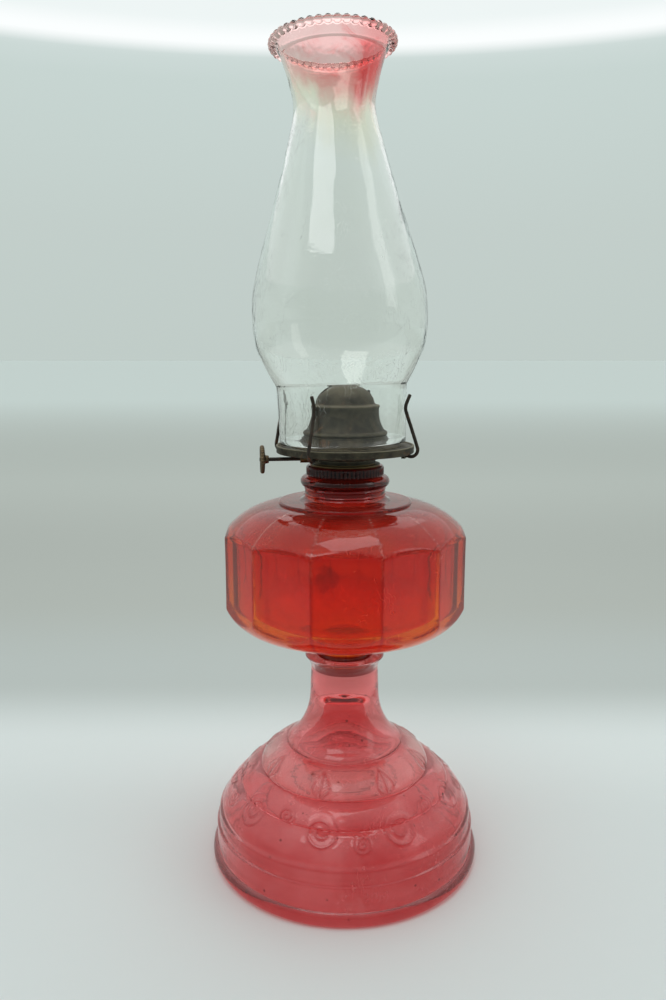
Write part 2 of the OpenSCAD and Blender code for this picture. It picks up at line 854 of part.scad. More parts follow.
// Stations up the chimney's side, for glass set inwards by a given amount
function chimney_side(inset) = curve([
    [fitter_top_r - inset, fitter_top_z],
    [bulge_r - inset - 5.7, fitter_top_z + bulge_rise * 0.31],
    [bulge_r - inset - 0.9, bulge_z - 14],
    [bulge_r - inset - 0.4, bulge_z + 7],
    [bulge_r - inset - 4.3, bulge_z + throat_rise * 0.24],
    [(bulge_r + throat_r) / 2 - inset - 2.4, bulge_z + throat_rise * 0.6],
    [throat_r - inset + 5.2, throat_z - 22],
    [throat_r - inset, throat_z],
    [throat_r - inset + 2.1, throat_z + crown_rise * 0.42],
    [throat_r - inset + 6, throat_z + crown_rise * 0.79]
]);

// Leans its children on the edge of the chimney's foot, off the lamp's axis
module leaning() {
    rotate([0, 0, chimney_lean_az])
        translate([chimney_shift + fitter_r, 0, chimney_z])
            rotate([0, chimney_lean, 0])
                translate([-fitter_r, 0, -chimney_z])
                    rotate([0, 0, -chimney_lean_az])
                        children();
}

module chimney() {
    bead_ring_r = crown_r - bead_r;
    bead_z = crown_z - bead_r;
    color("lightcyan", 0.5)
        leaning()
            union() {
                lathe(concat(
                    [[fitter_r - chimney_wall, chimney_z], [fitter_r, chimney_z]],
                    chimney_side(0),
                    [
                        [bead_ring_r - 0.6, bead_z - 1.5],
                        [bead_ring_r - 0.6, bead_z + 1],
                        [bead_ring_r - 3, bead_z + 0.4]
                    ],
                    reversed(chimney_side(chimney_wall))
                ));
                for (i = [0 : bead_count - 1])
                    rotate([0, 0, 360 * (i + 0.5) / bead_count - 90])
                        translate([bead_ring_r, 0, bead_z])
                            sphere(r = bead_r, $fn = 24);
            }
}

pedestal();
stem_cement();
font();
collar_cement();
thread_collar();
burner_thread_ring();
burner_body();
inner_cap();
air_screen();
gallery();
prong_clips();
wick_tube();
vent_tube();
spindle_housing();
spindle_bushing();
wick_spindle();
spur_wheel_inner();
spur_wheel_outer();
wick_knob();
wick();
deflector();
prong_front_left();
prong_front_right();
prong_back_right();
prong_back_left();
chimney();
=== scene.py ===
"""Visual model of a glass oil lamp with a flat-wick burner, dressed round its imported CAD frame.

Lengths are in metres in the frame's own coordinates: +Z up, the origin on the floor under the foot.
"""

import json
import logging
import math
from dataclasses import dataclass
from enum import Enum
from typing import Callable, Iterable, Sequence

import bmesh
import bpy
import numpy as np
from mathutils import Matrix, Vector


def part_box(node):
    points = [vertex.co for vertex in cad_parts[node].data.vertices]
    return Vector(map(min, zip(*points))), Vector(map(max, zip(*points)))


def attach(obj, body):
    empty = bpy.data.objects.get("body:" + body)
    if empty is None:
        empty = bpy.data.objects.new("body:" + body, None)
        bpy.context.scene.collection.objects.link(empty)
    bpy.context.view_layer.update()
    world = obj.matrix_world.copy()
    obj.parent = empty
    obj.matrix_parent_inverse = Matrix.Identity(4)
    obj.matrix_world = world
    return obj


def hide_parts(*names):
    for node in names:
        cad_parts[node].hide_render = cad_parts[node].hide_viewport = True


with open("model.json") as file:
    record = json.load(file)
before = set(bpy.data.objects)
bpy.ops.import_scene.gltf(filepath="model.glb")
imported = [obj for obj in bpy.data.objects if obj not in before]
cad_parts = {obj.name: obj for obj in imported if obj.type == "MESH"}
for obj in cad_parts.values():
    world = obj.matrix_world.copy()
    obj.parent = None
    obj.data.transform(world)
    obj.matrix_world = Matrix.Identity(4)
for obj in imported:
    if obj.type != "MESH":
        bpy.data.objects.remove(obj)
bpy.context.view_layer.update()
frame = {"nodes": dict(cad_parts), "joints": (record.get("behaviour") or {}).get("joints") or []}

LOG = logging.getLogger("oil_lamp")
MM = 0.001
TAU = 2 * math.pi

Point = tuple[float, float]
Colour = tuple[float, float, float]
Socket = bpy.types.NodeSocket


# ---- outlines ---------------------------------------------------------------------------------------


def arc(start: Point, end: Point, bow: float, steps: int = 8) -> list[Point]:
    """Points of a circular arc bowed to the right of the way from start to end.

    Args:
        start: First point, as (radius, height).
        end: Last point.
        bow: Height of the arc over its chord; negative bows to the left.
        steps: Number of straight pieces.

    Returns:
        The points, both ends included.
    """
    p, q = np.array(start, float), np.array(end, float)
    chord = q - p
    length = float(np.linalg.norm(chord))
    along = chord / length
    right = np.array([along[1], -along[0]])
    radius = (length * length / 4 + bow * bow) / (2 * bow)
    half = 2 * math.atan(2 * bow / length)
    points = []
    for i in range(steps + 1):
        a = half * (2 * i / steps - 1)
        point = (p + q) / 2 + along * radius * math.sin(a) + right * (radius * math.cos(a) - radius + bow)
        points.append((float(point[0]), float(point[1])))
    return points


def curve(stations: Sequence[Point], steps: int = 6) -> list[Point]:
    """Smooth curve through its stations, each span cut into steps.

    Args:
        stations: Points the curve passes through.
        steps: Number of straight pieces in each span.

    Returns:
        The points, both ends included.
    """
    s = [np.array(p, float) for p in stations]
    last = len(s) - 1
    points = []
    for i in range(last):
        a, b, c, d = s[max(i - 1, 0)], s[i], s[i + 1], s[min(i + 2, last)]
        for k in range(steps):
            t = k / steps
            point = (b + (c - a) * t / 2 + (2 * a - 5 * b + 4 * c - d) * t * t / 2
                     + (3 * b - a - 3 * c + d) * t ** 3 / 2)
            points.append((float(point[0]), float(point[1])))
    points.append((float(s[last][0]), float(s[last][1])))
    return points


def refine(points: Sequence[Point], longest: float) -> list[Point]:
    """Cuts each straight piece of an outline until none is longer than the given length.

    Args:
        points: The outline.
        longest: Longest piece allowed.

    Returns:
        The outline with more points on the same lines.
    """
    fine = [points[0]]
    for p, q in zip(points[:-1], points[1:]):
        pieces = max(1, math.ceil(math.dist(p, q) / longest))
        fine += [(p[0] + (q[0] - p[0]) * k / pieces, p[1] + (q[1] - p[1]) * k / pieces)
                 for k in range(1, pieces + 1)]
    return fine


def rounded(value: np.ndarray, edge: float) -> np.ndarray:
    """Smooth step from 0 to 1 as value goes from 0 to edge.

    Args:
        value: The numbers.
        edge: Where the step ends.

    Returns:
        The steps, with the shape of value.
    """
    t = np.clip(value / edge, 0, 1)
    return t * t * (3 - 2 * t)


def around(count: int, clusters: Iterable[float] = (), spread: Sequence[float] = ()) -> np.ndarray:
    """Angles round a full turn, evenly spaced, with more of them close to the given angles.

    Args:
        count: Number of even angles.
        clusters: Angles that need a finer spacing, in radians.
        spread: Offsets added on both sides of each cluster angle, in radians.

    Returns:
        The sorted angles, from 0 up to a full turn.
    """
    angles = [TAU * i / count for i in range(count)]
    for centre in clusters:
        for offset in spread:
            angles += [centre - offset, centre + offset]
    wrapped = np.sort(np.mod(np.array(angles), TAU))
    keep = np.concatenate([[True], np.diff(wrapped) > 1e-4])
    return wrapped[keep]


# ---- meshes -----------------------------------------------------------------------------------------

Warp = Callable[[np.ndarray, np.ndarray, np.ndarray], tuple[np.ndarray, np.ndarray]]


def ripple(angle: np.ndarray, height: np.ndarray, seed: int, waves: int = 6) -> np.ndarray:
    """Slow irregularity of hand-finished glass or metal, from a few seeded waves.

    Args:
        angle: Angles round the axis.
        height: Heights, in metres.
        seed: Seed of the waves.
        waves: How many waves are added up.

    Returns:
        Values of about -1 to 1, with the shape of the inputs.
    """
    draw = np.random.default_rng(seed)
    total = np.zeros(np.broadcast(angle, height).shape)
    for _ in range(waves):
        turns = int(draw.integers(1, 7))
        rise = draw.uniform(-90, 90)
        phase = draw.uniform(0, TAU)
        total += np.sin(turns * angle + rise * height + phase) / waves
    return total * 1.6


class Solid:
    """Mesh under construction, with named numbers stored at its points."""

    def __init__(self, name: str) -> None:
        """Starts an empty solid with the name of its piece.

        Args:
            name: Name of the piece.
        """
        self.name = name
        self.points: list[np.ndarray] = []
        self.faces: list[tuple[int, ...]] = []
        self.marks: dict[str, list[np.ndarray]] = {}
        self.count = 0

    def add(self, points: np.ndarray, faces: Iterable[tuple[int, ...]], **marks: np.ndarray) -> None:
        """Adds points and the faces between them.

        Args:
            points: Array of n points.
            faces: Faces by the index of their corners within these points.
            **marks: Named numbers, one for each point.
        """
        for key in set(self.marks) | set(marks):
            stored = self.marks.setdefault(key, [np.zeros(self.count)])
            stored.append(np.asarray(marks.get(key, np.zeros(len(points))), float).ravel())
        self.points.append(points)
        self.faces += [tuple(int(i) + self.count for i in face) for face in faces]
        self.count += len(points)

    def revolve(self, outline: Sequence[Point], angles: np.ndarray, warp: Warp | None = None,
                closed: bool = True, place: Matrix | None = None, **marks: np.ndarray) -> None:
        """Spins an outline of (radius, height) round the upright axis.

        Args:
            outline: The outline; closed joins its last point to its first.
            angles: Angles of the upright lines.
            warp: Takes radii, heights and angles as grids and returns new radii and heights.
            closed: Whether the outline is a loop.
            place: Where the solid goes once it is spun.
            **marks: Named numbers as grids of outline points by angles.
        """
        radius, angle = np.meshgrid([p[0] for p in outline], angles, indexing="ij")
        height = np.meshgrid([p[1] for p in outline], angles, indexing="ij")[0]
        if warp is not None:
            on_axis = radius < 1e-7
            radius, height = warp(radius, height, angle)
            radius = np.where(on_axis, 0.0, radius)
        rows, columns = radius.shape
        points = np.stack([radius * np.cos(angle), radius * np.sin(angle), height], -1).reshape(-1, 3)
        if place is not None:
            matrix = np.array(place)
            points = points @ matrix[:3, :3].T + matrix[:3, 3]
        grid = np.arange(rows * columns).reshape(rows, columns)
        pairs = [(i, i + 1) for i in range(rows - 1)]
        if closed:
            pairs.append((rows - 1, 0))
        faces: list[tuple[int, ...]] = []
        for low, high in pairs:
            flat_low = np.all(radius[low] < 1e-7)
            flat_high = np.all(radius[high] < 1e-7)
            if flat_low and flat_high:
                continue
            for j in range(columns):
                k = (j + 1) % columns
                faces.append((grid[low, j], grid[low, k], grid[high, k], grid[high, j]))
        self.add(points, faces, **{key: np.broadcast_to(value, radius.shape).ravel()
                                   for key, value in marks.items()})

    def sweep(self, path: Sequence[Vector], radii: Sequence[float], sides: int = 20) -> None:
        """Runs a round section along a path and closes both ends.

        Args:
            path: The middle line.
            radii: Radius at each point of the path.
            sides: Number of sides of the section.
        """
        rings = []
        across = (path[1] - path[0]).orthogonal().normalized()
        for i, point in enumerate(path):
            ahead = path[min(i + 1, len(path) - 1)] - path[max(i - 1, 0)]
            ahead.normalize()
            across = (across - ahead * across.dot(ahead)).normalized()
            up = ahead.cross(across)
            turns = [TAU * k / sides for k in range(sides)]
            rings.append([point + (across * math.cos(a) + up * math.sin(a)) * radii[i] for a in turns])
        points = np.array([tuple(p) for ring in rings for p in ring] + [tuple(path[0]), tuple(path[-1])])
        faces: list[tuple[int, ...]] = []
        for i in range(len(path) - 1):
            for k in range(sides):
                n = (k + 1) % sides
                faces.append((i * sides + k, i * sides + n, (i + 1) * sides + n, (i + 1) * sides + k))
        first, last = len(points) - 2, len(points) - 1
        end = (len(path) - 1) * sides
        for k in range(sides):
            n = (k + 1) % sides
            faces.append((first, n, k))
            faces.append((last, end + k, end + n))
        self.add(points, faces)

    def finish(self, sharp_deg: float = 40) -> bpy.types.Object:
        """Makes the Blender object, welded, with outward normals and smooth shading.

        Args:
            sharp_deg: Edges that bend more than this stay sharp, in degrees.

        Returns:
            The new object, linked to the scene.
        """
        mesh = bpy.data.meshes.new(self.name)
        mesh.from_pydata(np.concatenate(self.points).tolist(), [], self.faces)
        for key, values in self.marks.items():
            attribute = mesh.attributes.new(key, "FLOAT", "POINT")
            attribute.data.foreach_set("value", np.concatenate(values).astype(np.float32))
        work = bmesh.new()
        work.from_mesh(mesh)
        bmesh.ops.remove_doubles(work, verts=work.verts, dist=1e-7)
        bmesh.ops.dissolve_degenerate(work, edges=work.edges, dist=1e-8)
        bmesh.ops.recalc_face_normals(work, faces=work.faces)
        work.to_mesh(mesh)
        work.free()
        mesh.shade_smooth()
        mesh.set_sharp_from_angle(angle=math.radians(sharp_deg))
        piece = bpy.data.objects.new(self.name, mesh)
        bpy.context.scene.collection.objects.link(piece)
        return piece


# ---- materials --------------------------------------------------------------------------------------


class Recipe:
    """A node material being written, with short names for the patterns that the finishes share."""

    def __init__(self, name: str) -> None:
        """Starts an empty node material.

        Args:
            name: Name of the material.
        """
        self.material = bpy.data.materials.new(name)
        self.material.use_nodes = True
        self.tree = self.material.node_tree
        self.tree.nodes.clear()
        self.output = self.tree.nodes.new("ShaderNodeOutputMaterial")
        self.place = self.tree.nodes.new("ShaderNodeTexCoord").outputs["Object"]

    def node(self, kind: str, inputs: dict[str | int, object] | None = None,
             **settings: object) -> bpy.types.Node:
        """Adds a node.

        Args:
            kind: The node's type without its "ShaderNode" prefix.
            inputs: Values or sockets by input name or number.
            **settings: Properties of the node.

        Returns:
            The node.
        """
        made = self.tree.nodes.new("ShaderNode" + kind)
        for key, value in settings.items():
            setattr(made, key, value)
        for key, value in (inputs or {}).items():
            if isinstance(value, bpy.types.NodeSocket):
                self.tree.links.new(value, made.inputs[key])
            else:
                made.inputs[key].default_value = value
        return made

    def stretched(self, x: float, y: float, z: float) -> Socket:
        """The place on the piece, scaled by a different amount along each axis.

        Args:
            x: Scale along X.
            y: Scale along Y.
            z: Scale along Z.

        Returns:
            The scaled coordinates.
        """
        return self.node("Mapping", {"Vector": self.place, "Scale": (x, y, z)}).outputs[0]

    def noise(self, scale: float, detail: float = 4, roughness: float = 0.55, distortion: float = 0,
              place: Socket | None = None) -> Socket:
        """Cloudy pattern.

        Args:
            scale: Features per metre.
            detail: Octaves.
            roughness: Strength of the finer octaves.
            distortion: How much the pattern swirls.
            place: Coordinates, the piece's own when left out.

        Returns:
            The pattern's value, from 0 to 1.
        """
        return self.node("TexNoise", {"Vector": place or self.place, "Scale": scale, "Detail": detail,
                                      "Roughness": roughness, "Distortion": distortion}).outputs[0]

    def cells(self, scale: float) -> Socket:
        """Distance pattern of scattered cells.

        Args:
            scale: Cells per metre.

        Returns:
            The distance.
        """
        return self.node("TexVoronoi", {"Vector": self.place, "Scale": scale}).outputs["Distance"]

    def mark(self, name: str) -> Socket:
        """A number stored at the mesh's points.

        Args:
            name: Name it was stored under.

        Returns:
            The number, 0 where the mesh has none of that name.
        """
        return self.node("Attribute", attribute_name=name).outputs["Fac"]

    def height(self) -> Socket:
        """Height over the floor.

        Returns:
            The height in metres.
        """
        return self.node("SeparateXYZ", {0: self.place}).outputs["Z"]

    def spread(self, value: Socket, low: float, high: float, to_low: float = 0,
               to_high: float = 1) -> Socket:
        """Stretches a range of values to another, smoothly and clamped.

        Args:
            value: The value.
            low: Value that gives to_low.
            high: Value that gives to_high.
            to_low: First end of the new range.
            to_high: Second end of the new range.

        Returns:
            The stretched value.
        """
        return self.node("MapRange", {"Value": value, "From Min": low, "From Max": high, "To Min": to_low,
                                      "To Max": to_high}, interpolation_type="SMOOTHSTEP").outputs[0]

    def sum(self, kind: str, a: Socket | float, b: Socket | float = 0.0, clamp: bool = False) -> Socket:
        """One step of arithmetic.

        Args:
            kind: The Math node's operation.
            a: First number.
            b: Second number.
            clamp: Whether the result stays between 0 and 1.

        Returns:
            The result.
        """
        return self.node("Math", {0: a, 1: b}, operation=kind, use_clamp=clamp).outputs[0]

    def blend(self, share: Socket | float, a: Socket | Colour, b: Socket | Colour,
              kind: str = "MIX") -> Socket:
        """Mixes two colours.

        Args:
            share: Share of the second colour.
            a: First colour.
            b: Second colour.
            kind: How they are mixed.

        Returns:
            The mixed colour.
        """
        made = self.node("Mix", data_type="RGBA", blend_type=kind)
        for socket, value in ((made.inputs[0], share), (made.inputs[6], a), (made.inputs[7], b)):
            if isinstance(value, bpy.types.NodeSocket):
                self.tree.links.new(value, socket)
            elif isinstance(value, tuple):
                socket.default_value = (*value, 1.0)
            else:
                socket.default_value = value
        return made.outputs[2]

    def bump(self, height: Socket, distance: float, strength: float = 1,
             under: Socket | None = None) -> Socket:
        """Relief too fine for the mesh.

        Args:
            height: The relief, from 0 to 1.
            distance: Its depth in metres.
            strength: Share of the effect.
            under: A normal this relief is added to.

        Returns:
            The normal.
        """
        inputs: dict[str | int, object] = {"Height": height, "Distance": distance, "Strength": strength}
        if under is not None:
            inputs["Normal"] = under
        return self.node("Bump", inputs).outputs[0]

    def surface(self, **sockets: object) -> bpy.types.Node:
        """Ends the recipe with a Principled shader.

        Args:
            **sockets: Values or sockets by input name, with underscores for spaces.

        Returns:
            The shader.
        """
        shader = self.node("BsdfPrincipled", {key.replace("_", " "): value for key, value in sockets.items()})
        self.tree.links.new(shader.outputs[0], self.output.inputs["Surface"])
        return shader


@dataclass(frozen=True)
class GlassFinish:
    """Stained or clear glass that lamps shine through.

    Attributes:
        name: Name of the material.
        tint: What one wall lets through.
        deep: What it lets through where the stain lies thick.
        pale: What it lets through where the stain has worn.
        haze: Share of light that the stain scatters.
        gloss: Roughness of the clean surface.
        mottle: Size of the stain's clouds, per metre.
        shine: Strength of the mirror reflection, 0.5 for plain glass.
        dust: Share of dust on what faces up.
        dust_tint: Colour of the dust.
        scratch_pale: How much scratches whiten the stain.
    """

    name: str
    tint: Colour
    deep: Colour
    pale: Colour
    haze: float
    gloss: float
    mottle: float
    shine: float = 0.5
    dust: float = 0.0
    dust_tint: Colour = (0.8, 0.6, 0.55)
    scratch_pale: float = 0.5

    def scratches(self, r: Recipe) -> Socket:
        """Fine, broken, randomly bent scratches.

        Args:
            r: The recipe being written.

        Returns:
            Where scratches are, from 0 to 1.
        """
        bent = r.noise(26, 3, distortion=1.5)
        lines = r.node("TexWave", {"Vector": r.stretched(1.0, 1.3, 0.6), "Scale": 60.0, "Distortion": 34.0,
                                   "Detail": 3.0, "Detail Scale": 1.2}, wave_profile="SIN").outputs[1]
        thin = r.spread(lines, 0.992, 0.999)
        return r.sum("MULTIPLY", thin, r.spread(bent, 0.53, 0.6))

    def specks(self, r: Recipe, per_metre: float, size: float) -> Socket:
        """Small dark specks of grit, far apart.

        Args:
            r: The recipe being written.
            per_metre: Grid of places where a speck may lie, per metre.
            size: Size of a speck, as a share of that grid.

        Returns:
            Where specks are, from 0 to 1.
        """
        near = r.cells(per_metre)
        chosen = r.spread(r.noise(per_metre * 0.37, 1), 0.52, 0.56)
        return r.sum("MULTIPLY", r.spread(near, size, size * 0.5), chosen)

    def colour(self, r: Recipe) -> Socket:
        """What the wall lets through, from place to place.

        Args:
            r: The recipe being written.

        Returns:
            The tint of the wall.
        """
        clouds = r.spread(r.noise(self.mottle, 5, 0.6, 0.4), 0.36, 0.66)
        stained = r.blend(clouds, self.tint, self.deep)
        worn = r.spread(r.noise(self.mottle * 2.3, 6, 0.65, 0.2), 0.56, 0.76, 0, 0.8)
        return r.blend(worn, stained, self.pale)

    def material(self) -> bpy.types.Material:
        """Writes the node material.

        Returns:
            The material, which lets lamps through as tinted glass does.
        """
        r = Recipe(self.name)
        scratch = self.scratches(r)
        colour = r.blend(r.sum("MULTIPLY", scratch, self.scratch_pale), self.colour(r), self.pale)
        upward = r.node("SeparateXYZ", {0: r.node("NewGeometry").outputs["Normal"]}).outputs["Z"]
        settled = r.spread(r.noise(48, 6, 0.7), 0.25, 0.7, 0.35, 1)
        dusty = r.sum("MULTIPLY", r.spread(upward, 0.25, 0.95), settled)
        dusty = r.sum("MULTIPLY", dusty, self.dust)
        colour = r.blend(dusty, colour, self.dust_tint)
        clear = r.sum("SUBTRACT", 1 - self.haze, dusty, clamp=True)
        smudge = r.spread(r.noise(34, 4, 0.6), 0.4, 0.75)
        rough = r.sum("ADD", r.sum("MULTIPLY", smudge, 0.05), r.sum("MULTIPLY", scratch, 0.25))
        rough = r.sum("ADD", rough, self.gloss, clamp=True)
        relief = r.bump(r.noise(55, 3, 0.5), 0.00022)
        relief = r.bump(scratch, 0.00003, under=relief)
        shader = r.surface(Base_Color=colour, Roughness=rough, IOR=1.5, Transmission_Weight=clear,
                           Specular_IOR_Level=self.shine, Normal=relief)
        lamps = r.node("BsdfTransparent", {"Color": colour})
        ray = r.node("LightPath").outputs["Is Shadow Ray"]
        mixed = r.node("MixShader", {0: ray, 1: shader.outputs[0], 2: lamps.outputs[0]})
        r.tree.links.new(mixed.outputs[0], r.output.inputs["Surface"])
        return r.material


@dataclass(frozen=True)
class RoseStain(GlassFinish):
    """Rose stain of the pedestal, with painted shade in the step grooves, along the bottom of the foot rim
    and on the scroll and leaf ridges, nearly clear at the lip of the stem.
    """

    lip_height: float = 0.1195
    stem: Colour = (0.93, 0.19, 0.19)
    line: Colour = (0.6, 0.07, 0.08)

    def colour(self, r: Recipe) -> Socket:
        """Stain with painted shade in the step grooves and on the relief ridges, thinning out at the lip.

        Args:
            r: The recipe being written.

        Returns:
            The tint of the wall.
        """
        stained = GlassFinish.colour(self, r)
        height = r.height()
        on_dome = r.sum("MULTIPLY", r.spread(height, 0.054, 0.058), r.spread(height, 0.072, 0.067))
        stained = r.blend(r.sum("MULTIPLY", on_dome, 0.75), stained, self.pale)
        stained = r.blend(r.sum("MULTIPLY", r.spread(height, 0.07, 0.095), 0.9), stained, self.stem)
        # Painted shade in the step grooves and along the bottom of the foot rim.
        stained = r.blend(r.mark("relief"), stained, self.deep)
        # Painted shade along the scroll and leaf ridges.
        stained = r.blend(r.sum("MULTIPLY", r.mark("drawn"), 0.9), stained, self.line)
        grit = self.specks(r, 150, 0.15)
        stained = r.blend(grit, stained, (0.12, 0.02, 0.02))
        clear = r.spread(r.height(), self.lip_height - 0.004, self.lip_height + 0.001)
        return r.blend(r.sum("MULTIPLY", clear, 0.75), stained, (0.93, 0.86, 0.84))


@dataclass(frozen=True)
class RubyStain(GlassFinish):
    """Orange-red stain of the font, with a painted orange glow low on the panels, painted shade under the
    disc, round the neck and along the corners, and pale chips of wear and painted highlight on the upper
    corners.
    """

    edge: Colour = (0.93, 0.5, 0.42)
    painted_glow: Colour = (0.98, 0.2, 0.008)
    rib: Colour = (0.1, 0.006, 0.004)
    painted_shade: Colour = (0.42, 0.025, 0.012)
    painted_shade_patch: tuple[float, float, float] = (-0.0105, -0.0676, 0.1885)

    def colour(self, r: Recipe) -> Socket:
        """Stain with a painted glow, painted shade on the shoulder, neck, front patch and corners, and pale
        chips of wear and painted highlight on the upper corners.

        Args:
            r: The recipe being written.

        Returns:
            The tint of the wall.
        """
        stained = GlassFinish.colour(self, r)
        # Painted glow: brighter orange low on the panels, as where light passes through.
        painted_glow = r.sum("MULTIPLY", r.spread(r.height(), 0.188, 0.155), 0.75)
        stained = r.blend(painted_glow, stained, self.painted_glow)
        # Painted shade: the shoulder goes darker towards the disc.
        shoulder = r.sum("MULTIPLY", r.spread(r.height(), 0.194, 0.206), 0.6)
        stained = r.blend(shoulder, stained, self.painted_shade)
        # Painted shade on the neck, the mouth and the peg, and on the upper shoulder under the disc.
        stained = r.blend(r.mark("neck"), stained, self.painted_shade)
        # Painted shade: the flute grooves at the top of the neck go near black.
        stained = r.blend(r.mark("rib"), stained, self.rib)
        # Painted shade: a dark patch on the upper front panel.
        off = r.node("VectorMath", {0: r.place, 1: self.painted_shade_patch}, operation="DISTANCE").outputs["Value"]
        off = r.sum("ADD", off, r.sum("MULTIPLY", r.noise(260, 4, 0.6), 0.012))
        stained = r.blend(r.sum("MULTIPLY", r.spread(off, 0.0145, 0.0105), 0.7), stained, self.painted_shade)
        # Painted shade: dark lines along the panel corners and the panel edges.
        stained = r.blend(r.sum("MULTIPLY", r.mark("corner"), 0.95), stained, self.painted_shade)
        # Pale chips on the upper corners: wear, and painted highlight along the corners.
        chips_and_glints = r.spread(r.noise(620, 5, 0.7), 0.47, 0.57)
        worn = r.sum("MULTIPLY", r.sum("MULTIPLY", r.mark("corner"), r.mark("top_edge")), chips_and_glints)
        stained = r.blend(worn, stained, self.edge)
        return r.blend(r.mark("seam"), stained, (0.95, 0.62, 0.5))


@dataclass(frozen=True)
class FlashedCrown(GlassFinish):
    """Clear glass whose crown is flashed with an uneven red."""

    flash: Colour = (1.0, 0.62, 0.6)
    flash_deep: Colour = (0.93, 0.2, 0.2)
    amber: Colour = (1.0, 0.95, 0.8)
    bead_tint: Colour = (0.97, 0.74, 0.71)
    fold_painted_shade: Colour = (0.72, 0.06, 0.07)
    flash_from: float = 0.4285

    def colour(self, r: Recipe) -> Socket:
        """Clear glass below, red clouds at the crown, amber where the two meet, and a painted highlight and
        painted shade of a fold in the crown.

        Args:
            r: The recipe being written.

        Returns:
            The tint of the wall.
        """
        clear = GlassFinish.colour(self, r)
        side = r.node("SeparateXYZ", {0: r.place}).outputs["X"]
        clouds = r.noise(30, 4, 0.6, 0.6, r.stretched(1, 1, 0.45))
        level = r.sum("ADD", r.sum("MULTIPLY", r.sum("SUBTRACT", clouds, 0.5), 0.05), r.height())
        level = r.sum("ADD", r.sum("MULTIPLY", side, 0.35), level)
        begins = r.spread(level, self.flash_from, self.flash_from + 0.02)
        warm = r.spread(level, self.flash_from - 0.025, self.flash_from + 0.004)
        deep = r.spread(r.noise(70, 5, 0.65, 0.8), 0.5, 0.68)
        deep = r.sum("ADD", deep, r.spread(side, -0.004, 0.014, 0, 0.85), clamp=True)
        deep = r.sum("MULTIPLY", deep, r.spread(side, -0.03, 0.015, 0.3, 1))
        shade = r.blend(r.sum("MULTIPLY", warm, 0.6), clear, self.amber)
        shade = r.blend(begins, shade, r.blend(deep, self.flash, self.flash_deep))
        # Painted shade beside a fold in the crown, then its painted highlight as a pale streak; the mesh has
        # no fold.
        shade = r.blend(r.sum("MULTIPLY", r.mark("fold_shade"), 0.7), shade, self.fold_painted_shade)
        shade = r.blend(r.mark("fold"), shade, (1.0, 0.97, 0.96))
        return r.blend(r.sum("MULTIPLY", r.mark("bead"), 0.7), shade, self.bead_tint)


@dataclass(frozen=True)
class MetalFinish:
    """Old metal with patina, rubbed edges and grime.

    Attributes:
        name: Name of the material.
        base: Colour of the patina.
        rubbed_and_highlight: Colour where hands have rubbed it, also used for painted highlights.
        stain: Colour of rust or verdigris patches.
        grime: Colour of dirt, in cloudy patches.
        roughness: Middle roughness.
        metallic: Share of bare metal.
        grain: Size of the pattern, per metre.
        stain_share: How much of the surface is stained, from 0 to 1.
    """

    name: str
    base: Colour
    rubbed_and_highlight: Colour
    stain: Colour
    grime: Colour
    roughness: float
    metallic: float
    grain: float
    stain_share: float = 0.35

    def material(self) -> bpy.types.Material:
        """Writes the node material.

        Returns:
            The material.
        """
        r = Recipe(self.name)
        cloud = r.noise(self.grain, 6, 0.65, 0.5)
        fine = r.noise(self.grain * 9, 5, 0.7)
        colour = r.blend(r.spread(cloud, 0.35, 0.7), self.base, self.grime)
        patches = r.noise(self.grain * 0.7, 5, 0.7, 1.2)
        reach = 0.72 - 0.3 * self.stain_share
        rust = r.sum("MULTIPLY", r.spread(patches, reach, reach + 0.12), r.spread(fine, 0.3, 0.6))
        colour = r.blend(rust, colour, self.stain)
        speck = r.sum("MULTIPLY", r.spread(r.cells(self.grain * 11), 0.2, 0.08),
                      r.spread(r.noise(self.grain * 2.2, 3), 0.5, 0.64))
        colour = r.blend(speck, colour, self.rubbed_and_highlight)
        bevel = r.node("Bevel", {"Radius": 0.0006}, samples=4).outputs[0]
        straight = r.node("NewGeometry").outputs["Normal"]
        facing = r.node("VectorMath", {0: bevel, 1: straight}, operation="DOT_PRODUCT").outputs["Value"]
        edge = r.sum("MULTIPLY", r.spread(facing, 0.985, 0.9), r.spread(fine, 0.32, 0.55))
        # The worn mark is rubbing, partly painted highlight on the gallery rim and the deflector; the
        # deflector's lighter dome top is painted highlight.
        edge = r.sum("ADD", edge, r.sum("MULTIPLY", r.mark("worn"), r.spread(fine, 0.25, 0.6)), clamp=True)
        colour = r.blend(r.sum("MULTIPLY", edge, 0.8), colour, self.rubbed_and_highlight)
        rough = r.spread(fine, 0.2, 0.8, self.roughness - 0.12, self.roughness + 0.14)
        relief = r.bump(fine, 0.00008)
        relief = r.bump(patches, 0.00025, 0.6, relief)
        r.surface(Base_Color=colour, Roughness=rough, Metallic=self.metallic, Normal=relief)
        return r.material


@dataclass(frozen=True)
class CottonFinish:
    """Undyed woven cotton, singed at its burning end."""

    name: str
    yarn: Colour
    shade: Colour
    char: Colour

    def material(self) -> bpy.types.Material:
        """Writes the node material.

        Returns:
            The material.
        """
        r = Recipe(self.name)
        fibre = r.noise(2600, 4, 0.7, place=r.stretched(1, 1, 0.25))
        colour = r.blend(fibre, self.yarn, self.shade)
        colour = r.blend(r.mark("singed"), colour, self.char)
        relief = r.bump(fibre, 0.00012)
        r.surface(Base_Color=colour, Roughness=0.9, Sheen_Weight=0.25, Sheen_Roughness=0.5, Normal=relief)
        return r.material


@dataclass(frozen=True)
class CementFinish:
    """Old plaster cement with pores."""

    name: str
    body: Colour
    shade: Colour

    def material(self) -> bpy.types.Material:
        """Writes the node material.

        Returns:
            The material.
        """
        r = Recipe(self.name)
        cloud = r.noise(180, 5, 0.6)
        pores = r.spread(r.cells(900), 0.12, 0.3)
        colour = r.blend(cloud, self.body, self.shade)
        relief = r.bump(pores, 0.00015)
        r.surface(Base_Color=colour, Roughness=0.92, Normal=relief)
        return r.material


